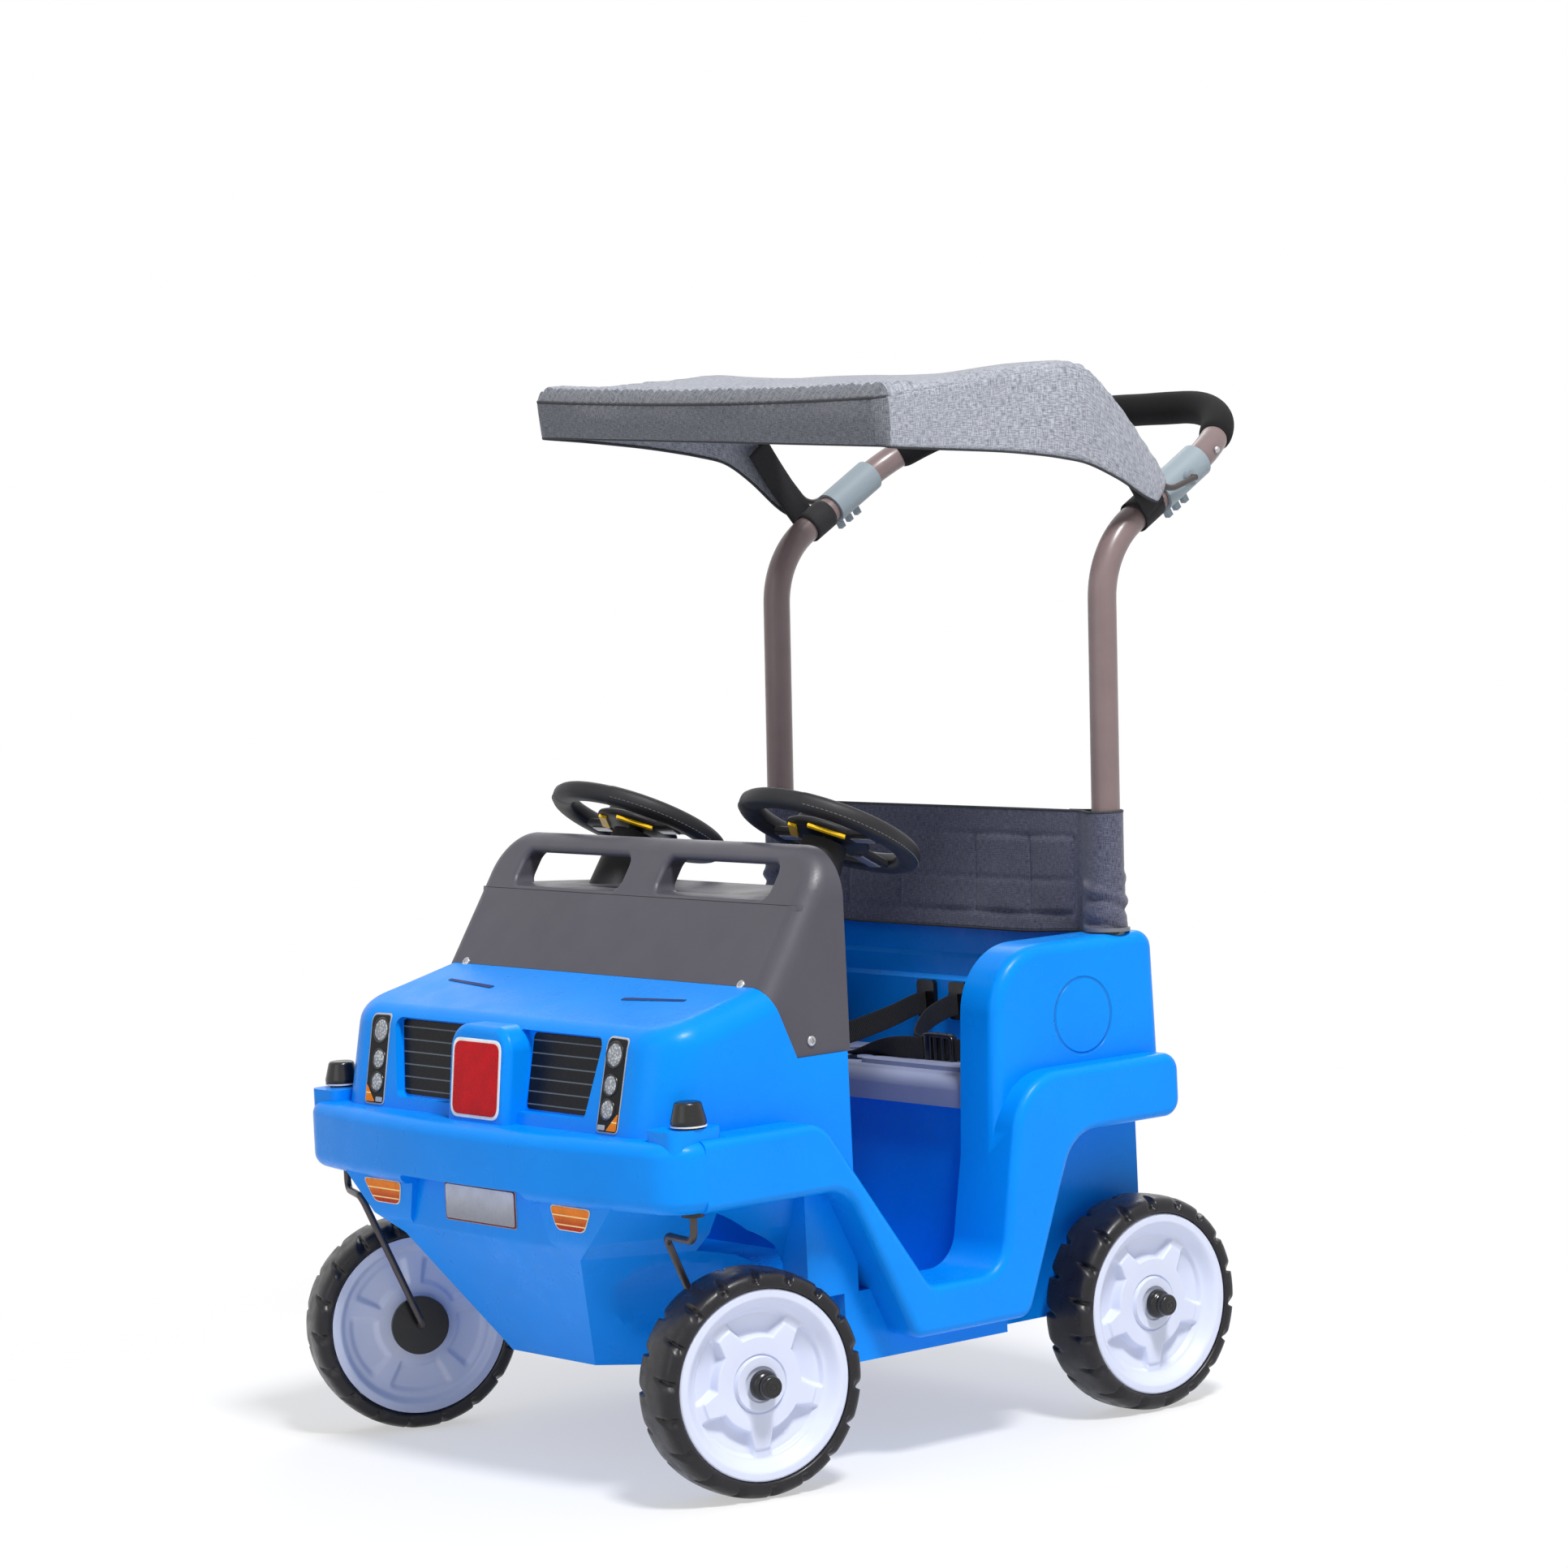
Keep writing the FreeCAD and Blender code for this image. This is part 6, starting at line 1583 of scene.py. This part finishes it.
@dataclass
class Backrest:
    """Cloth sling stretched between the uprights, with sewn panels and a wrinkled sleeve round each tube."""

    palette: Palette
    low: float = 0.533
    height: float = 0.134
    back: float = 0.206
    lean: float = 2.0
    sag: float = 4.5
    tube: float = 285.0
    sleeve: float = 18.3
    lap: float = 62.0
    seams: tuple[float, float, float] = (65.0, 158.0, 236.0)
    rows: tuple[float, float, float] = (0.14, 0.42, 0.78)

    def build(self) -> None:
        """Make the sling and its hems."""
        p = self.palette
        surface, edges = self.sheet()
        cloth = piece("backrest_cloth", surface, p.sling, shell=False)
        thicken(cloth, 1.2 * MM, 1.0)
        fit(cloth, "chassis", "sling_cloth", "backrest_sling")
        for name, edge in zip(("backrest_hem_low", "backrest_hem_top"), edges):
            trim = piece(name, carried(edge, round_section(1.7 * MM, 10), (0, 0.1, 1)), p.binding)
            fit(trim, "chassis", "sling_cloth")

    def line(self) -> Array:
        """Plan of the sling as (x, y) from one rear lap round its tube, across the front and round the other tube."""
        r = self.sleeve
        around = np.linspace(math.radians(70), -math.pi / 2, 44)
        wrap = np.stack((self.tube + r * np.cos(around), r * np.sin(around)), 1)
        neck = np.array([[self.tube - self.lap, 3.4], [self.tube - 40, 5.0], [self.tube - 20, 12.5]])
        cross_x = np.linspace(self.tube - 6, 0.0, 60)
        cross = np.stack((cross_x, -r + (r - 3.0) * ease(self.tube - 4, self.tube - 44, cross_x)), 1)
        half = np.concatenate((neck, wrap, cross))
        return spaced(np.concatenate((half, half[-2::-1] * np.array([-1, 1]))), 470)

    def relief(self, x: Array, v: Array) -> Array:
        """Depth of the sewn panels: creases along their seams and rows, fuller between, in millimetres backwards."""
        band = ease(self.rows[0] - 0.03, self.rows[0] + 0.03, v) * ease(self.rows[2] + 0.03, self.rows[2] - 0.03, v)
        uprights = sum(np.exp(-((np.abs(x) - s) / 2.6) ** 2) for s in self.seams)
        levels = sum(np.exp(-((v - r) / 0.022) ** 2) * k for r, k in zip(self.rows, (1.0, 0.55, 0.8)))
        inside = ease(self.seams[2] + 4, self.seams[2] - 4, np.abs(x))
        full = -1.2 * band * inside * np.abs(np.sin(math.pi * (np.abs(x) - self.seams[0]) / 93.0))
        wave = 0.6 * np.sin(x / 14.0 + 5.0 * v) * np.exp(-((v - 0.16) / 0.1) ** 2)
        return 1.7 * uprights * band + 1.5 * levels * inside + full + wave

    def sheet(self) -> tuple[Surface, list[Array]]:
        """Sling: its plan line carried up the lean, creased low on the sleeves and pressed along the sewn panels.

        Returns:
            The sheet, and its lower and upper edges.
        """
        line = self.line()
        v = np.linspace(0.0, 1.0, 48)[:, None]
        x, y = line[None, :, 0] + 0 * v, line[None, :, 1] + 0 * v
        near = np.exp(-((np.abs(x) - self.tube) / 26.0) ** 2)
        lower = ease(0.62, 0.30, v)
        slant = v * 34 + 0.055 * x * np.sign(x) + 1.6 * np.sin(y / 9.0)
        crease = near * lower * (2.0 * np.sin(slant) + 1.0 * np.sin(1.7 * slant + 1.0) + 2.2)
        ray = np.stack((x - np.sign(x) * self.tube, y), -1)
        ray = ray / np.maximum(np.linalg.norm(ray, axis=-1, keepdims=True), 1e-6)
        x = x + crease * ray[..., 0] * (near > 0.3)
        y = y + crease * ray[..., 1] * (near > 0.3)
        middle = ease(self.tube - 30, self.tube - 150, np.abs(x)) * (y < 2.0)
        flat = ease(self.tube - 18, self.tube - 34, np.abs(x)) * (y < 2.0)
        y = y + middle * (4.0 * np.sin(math.pi * v) + 1.0 * np.sin(x / 91.0)) + flat * self.relief(x, v)
        lean = math.tan(math.radians(self.lean))
        z = self.low + self.height * v - self.sag * MM * middle * (1 - v)
        grid = np.stack((x * MM, self.back + (z - self.low) * lean + y * MM, z + 0 * x), -1)
        return Surface.lattice(grid), [grid[0], grid[-1]]


@dataclass
class Studio:
    """Floor, lights, sky and the camera at the photograph's place."""

    location: Spot = (4.107, -3.379, 1.056)
    azimuth: float = 50.691
    elevation: float = 3.732
    roll: float = -2.716
    lens: float = 108.2
    film: float = 36.0
    aim: float = 0.45
    sky_light: float = 0.36
    floor_half: float = 40.0
    shadow: tuple[float, float] = (0.55, 1.35)

    def build(self) -> None:
        """Set the stage and the view."""
        self.floor()
        self.sky()
        self.lamp("key", (3.2, -0.9, 5.8), 1.1, 390.0)
        self.lamp("fill", (0.6, -5.2, 2.4), 3.0, 26.0)
        self.lamp("back", (-3.0, 3.2, 3.8), 2.4, 60.0)
        self.camera()
        bpy.context.scene.view_settings.view_transform = "Standard"

    def floor(self) -> None:
        """White floor: matt where the car's shadow falls, and as bright as the surround further out."""
        x, y = np.meshgrid(*2 * [np.linspace(-self.floor_half, self.floor_half, 41)], indexing="ij")
        grid = np.stack((x, y, np.zeros_like(x)), axis=-1)
        tree = Tree("floor_white")
        tone = tree.span(tree.noise(0.8, 2.0), 0.3, 0.7)
        tree.feed(Base_Color=tree.mix(tone, (0.86, 0.86, 0.865), (0.88, 0.88, 0.885)), Roughness=0.7)
        glow = tree.add("ShaderNodeEmission", {"Color": (1, 1, 1, 1), "Strength": 1.0})
        seen = tree.add("ShaderNodeLightPath", {})
        eye = tree.maths("MAXIMUM", seen.outputs["Is Camera Ray"], seen.outputs["Is Glossy Ray"])
        eye = tree.maths("MAXIMUM", eye, seen.outputs["Is Transmission Ray"])
        away = tree.add("ShaderNodeVectorMath", {0: tree.coords.outputs["Object"]}, operation="LENGTH").outputs[1]
        share = tree.maths("MULTIPLY", eye, tree.span(away, *self.shadow, 0.5, 1.0))
        both = tree.add("ShaderNodeMixShader", {0: share, 1: tree.shader.outputs[0], 2: glow.outputs[0]})
        tree.links.new(both.outputs[0], tree.nodes["Material Output"].inputs[0])
        floor = piece("floor", Surface.lattice(grid), tree.material, shell=False)
        turn_to(floor, UP)

    def sky(self) -> None:
        """White surround, brighter to the eye and in gloss than as a light."""
        world = bpy.data.worlds.new("studio")
        bpy.context.scene.world = world
        world.use_nodes = True
        nodes, links = world.node_tree.nodes, world.node_tree.links
        seen = nodes.new("ShaderNodeLightPath")
        strength = nodes.new("ShaderNodeMapRange")
        strength.inputs["To Min"].default_value = self.sky_light
        strength.inputs["To Max"].default_value = 1.0
        eye = seen.outputs["Is Camera Ray"]
        for ray in ("Is Glossy Ray", "Is Transmission Ray"):
            either = nodes.new("ShaderNodeMath")
            either.operation = "MAXIMUM"
            links.new(eye, either.inputs[0])
            links.new(seen.outputs[ray], either.inputs[1])
            eye = either.outputs[0]
        links.new(eye, strength.inputs["Value"])
        sky = nodes["Background"]
        sky.inputs[0].default_value = (1.0, 1.0, 1.0, 1.0)
        links.new(strength.outputs[0], sky.inputs[1])

    def lamp(self, name: str, place: Spot, size: float, power: float) -> None:
        """Soft square lamp that looks at the middle of the car."""
        data = bpy.data.lights.new(name, "AREA")
        data.size = size
        data.energy = power
        obj = bpy.data.objects.new(name, data)
        obj.location = place
        obj.rotation_euler = (Vector((0, 0, self.aim)) - Vector(place)).to_track_quat("-Z", "Y").to_euler()
        bpy.context.scene.collection.objects.link(obj)

    def camera(self) -> None:
        """Camera from its bearing, height angle and roll."""
        a, e, r = (math.radians(v) for v in (self.azimuth, self.elevation, self.roll))
        back = np.array([math.sin(a) * math.cos(e), -math.cos(a) * math.cos(e), math.sin(e)])
        right = np.array([math.cos(a), math.sin(a), 0.0])
        up = np.cross(back, right)
        axes = np.stack((right * math.cos(r) + up * math.sin(r), up * math.cos(r) - right * math.sin(r), back), axis=1)
        data = bpy.data.cameras.new("view")
        data.lens = self.lens
        data.sensor_width = self.film
        obj = bpy.data.objects.new("view", data)
        obj.matrix_world = Matrix.Translation(self.location) @ Matrix(axes.tolist()).to_4x4()
        bpy.context.scene.collection.objects.link(obj)
        bpy.context.scene.camera = obj


def main() -> None:
    """Build every sub-assembly in order."""
    logging.basicConfig(level=logging.INFO, format="%(message)s")
    palette = Palette()
    Studio().build()
    Body(palette).build()
    Cabin(palette).build()
    for side in Side:
        SteeringWheel(palette, side).build()
    for corner in Corner:
        Wheel(palette, corner).build()
    Casters(palette).build()
    Handle(palette).build()
    Canopy(palette).build()
    for side in Side:
        Strap(palette, side).build()
    Backrest(palette).build()


if __name__ == "__main__":
    main()
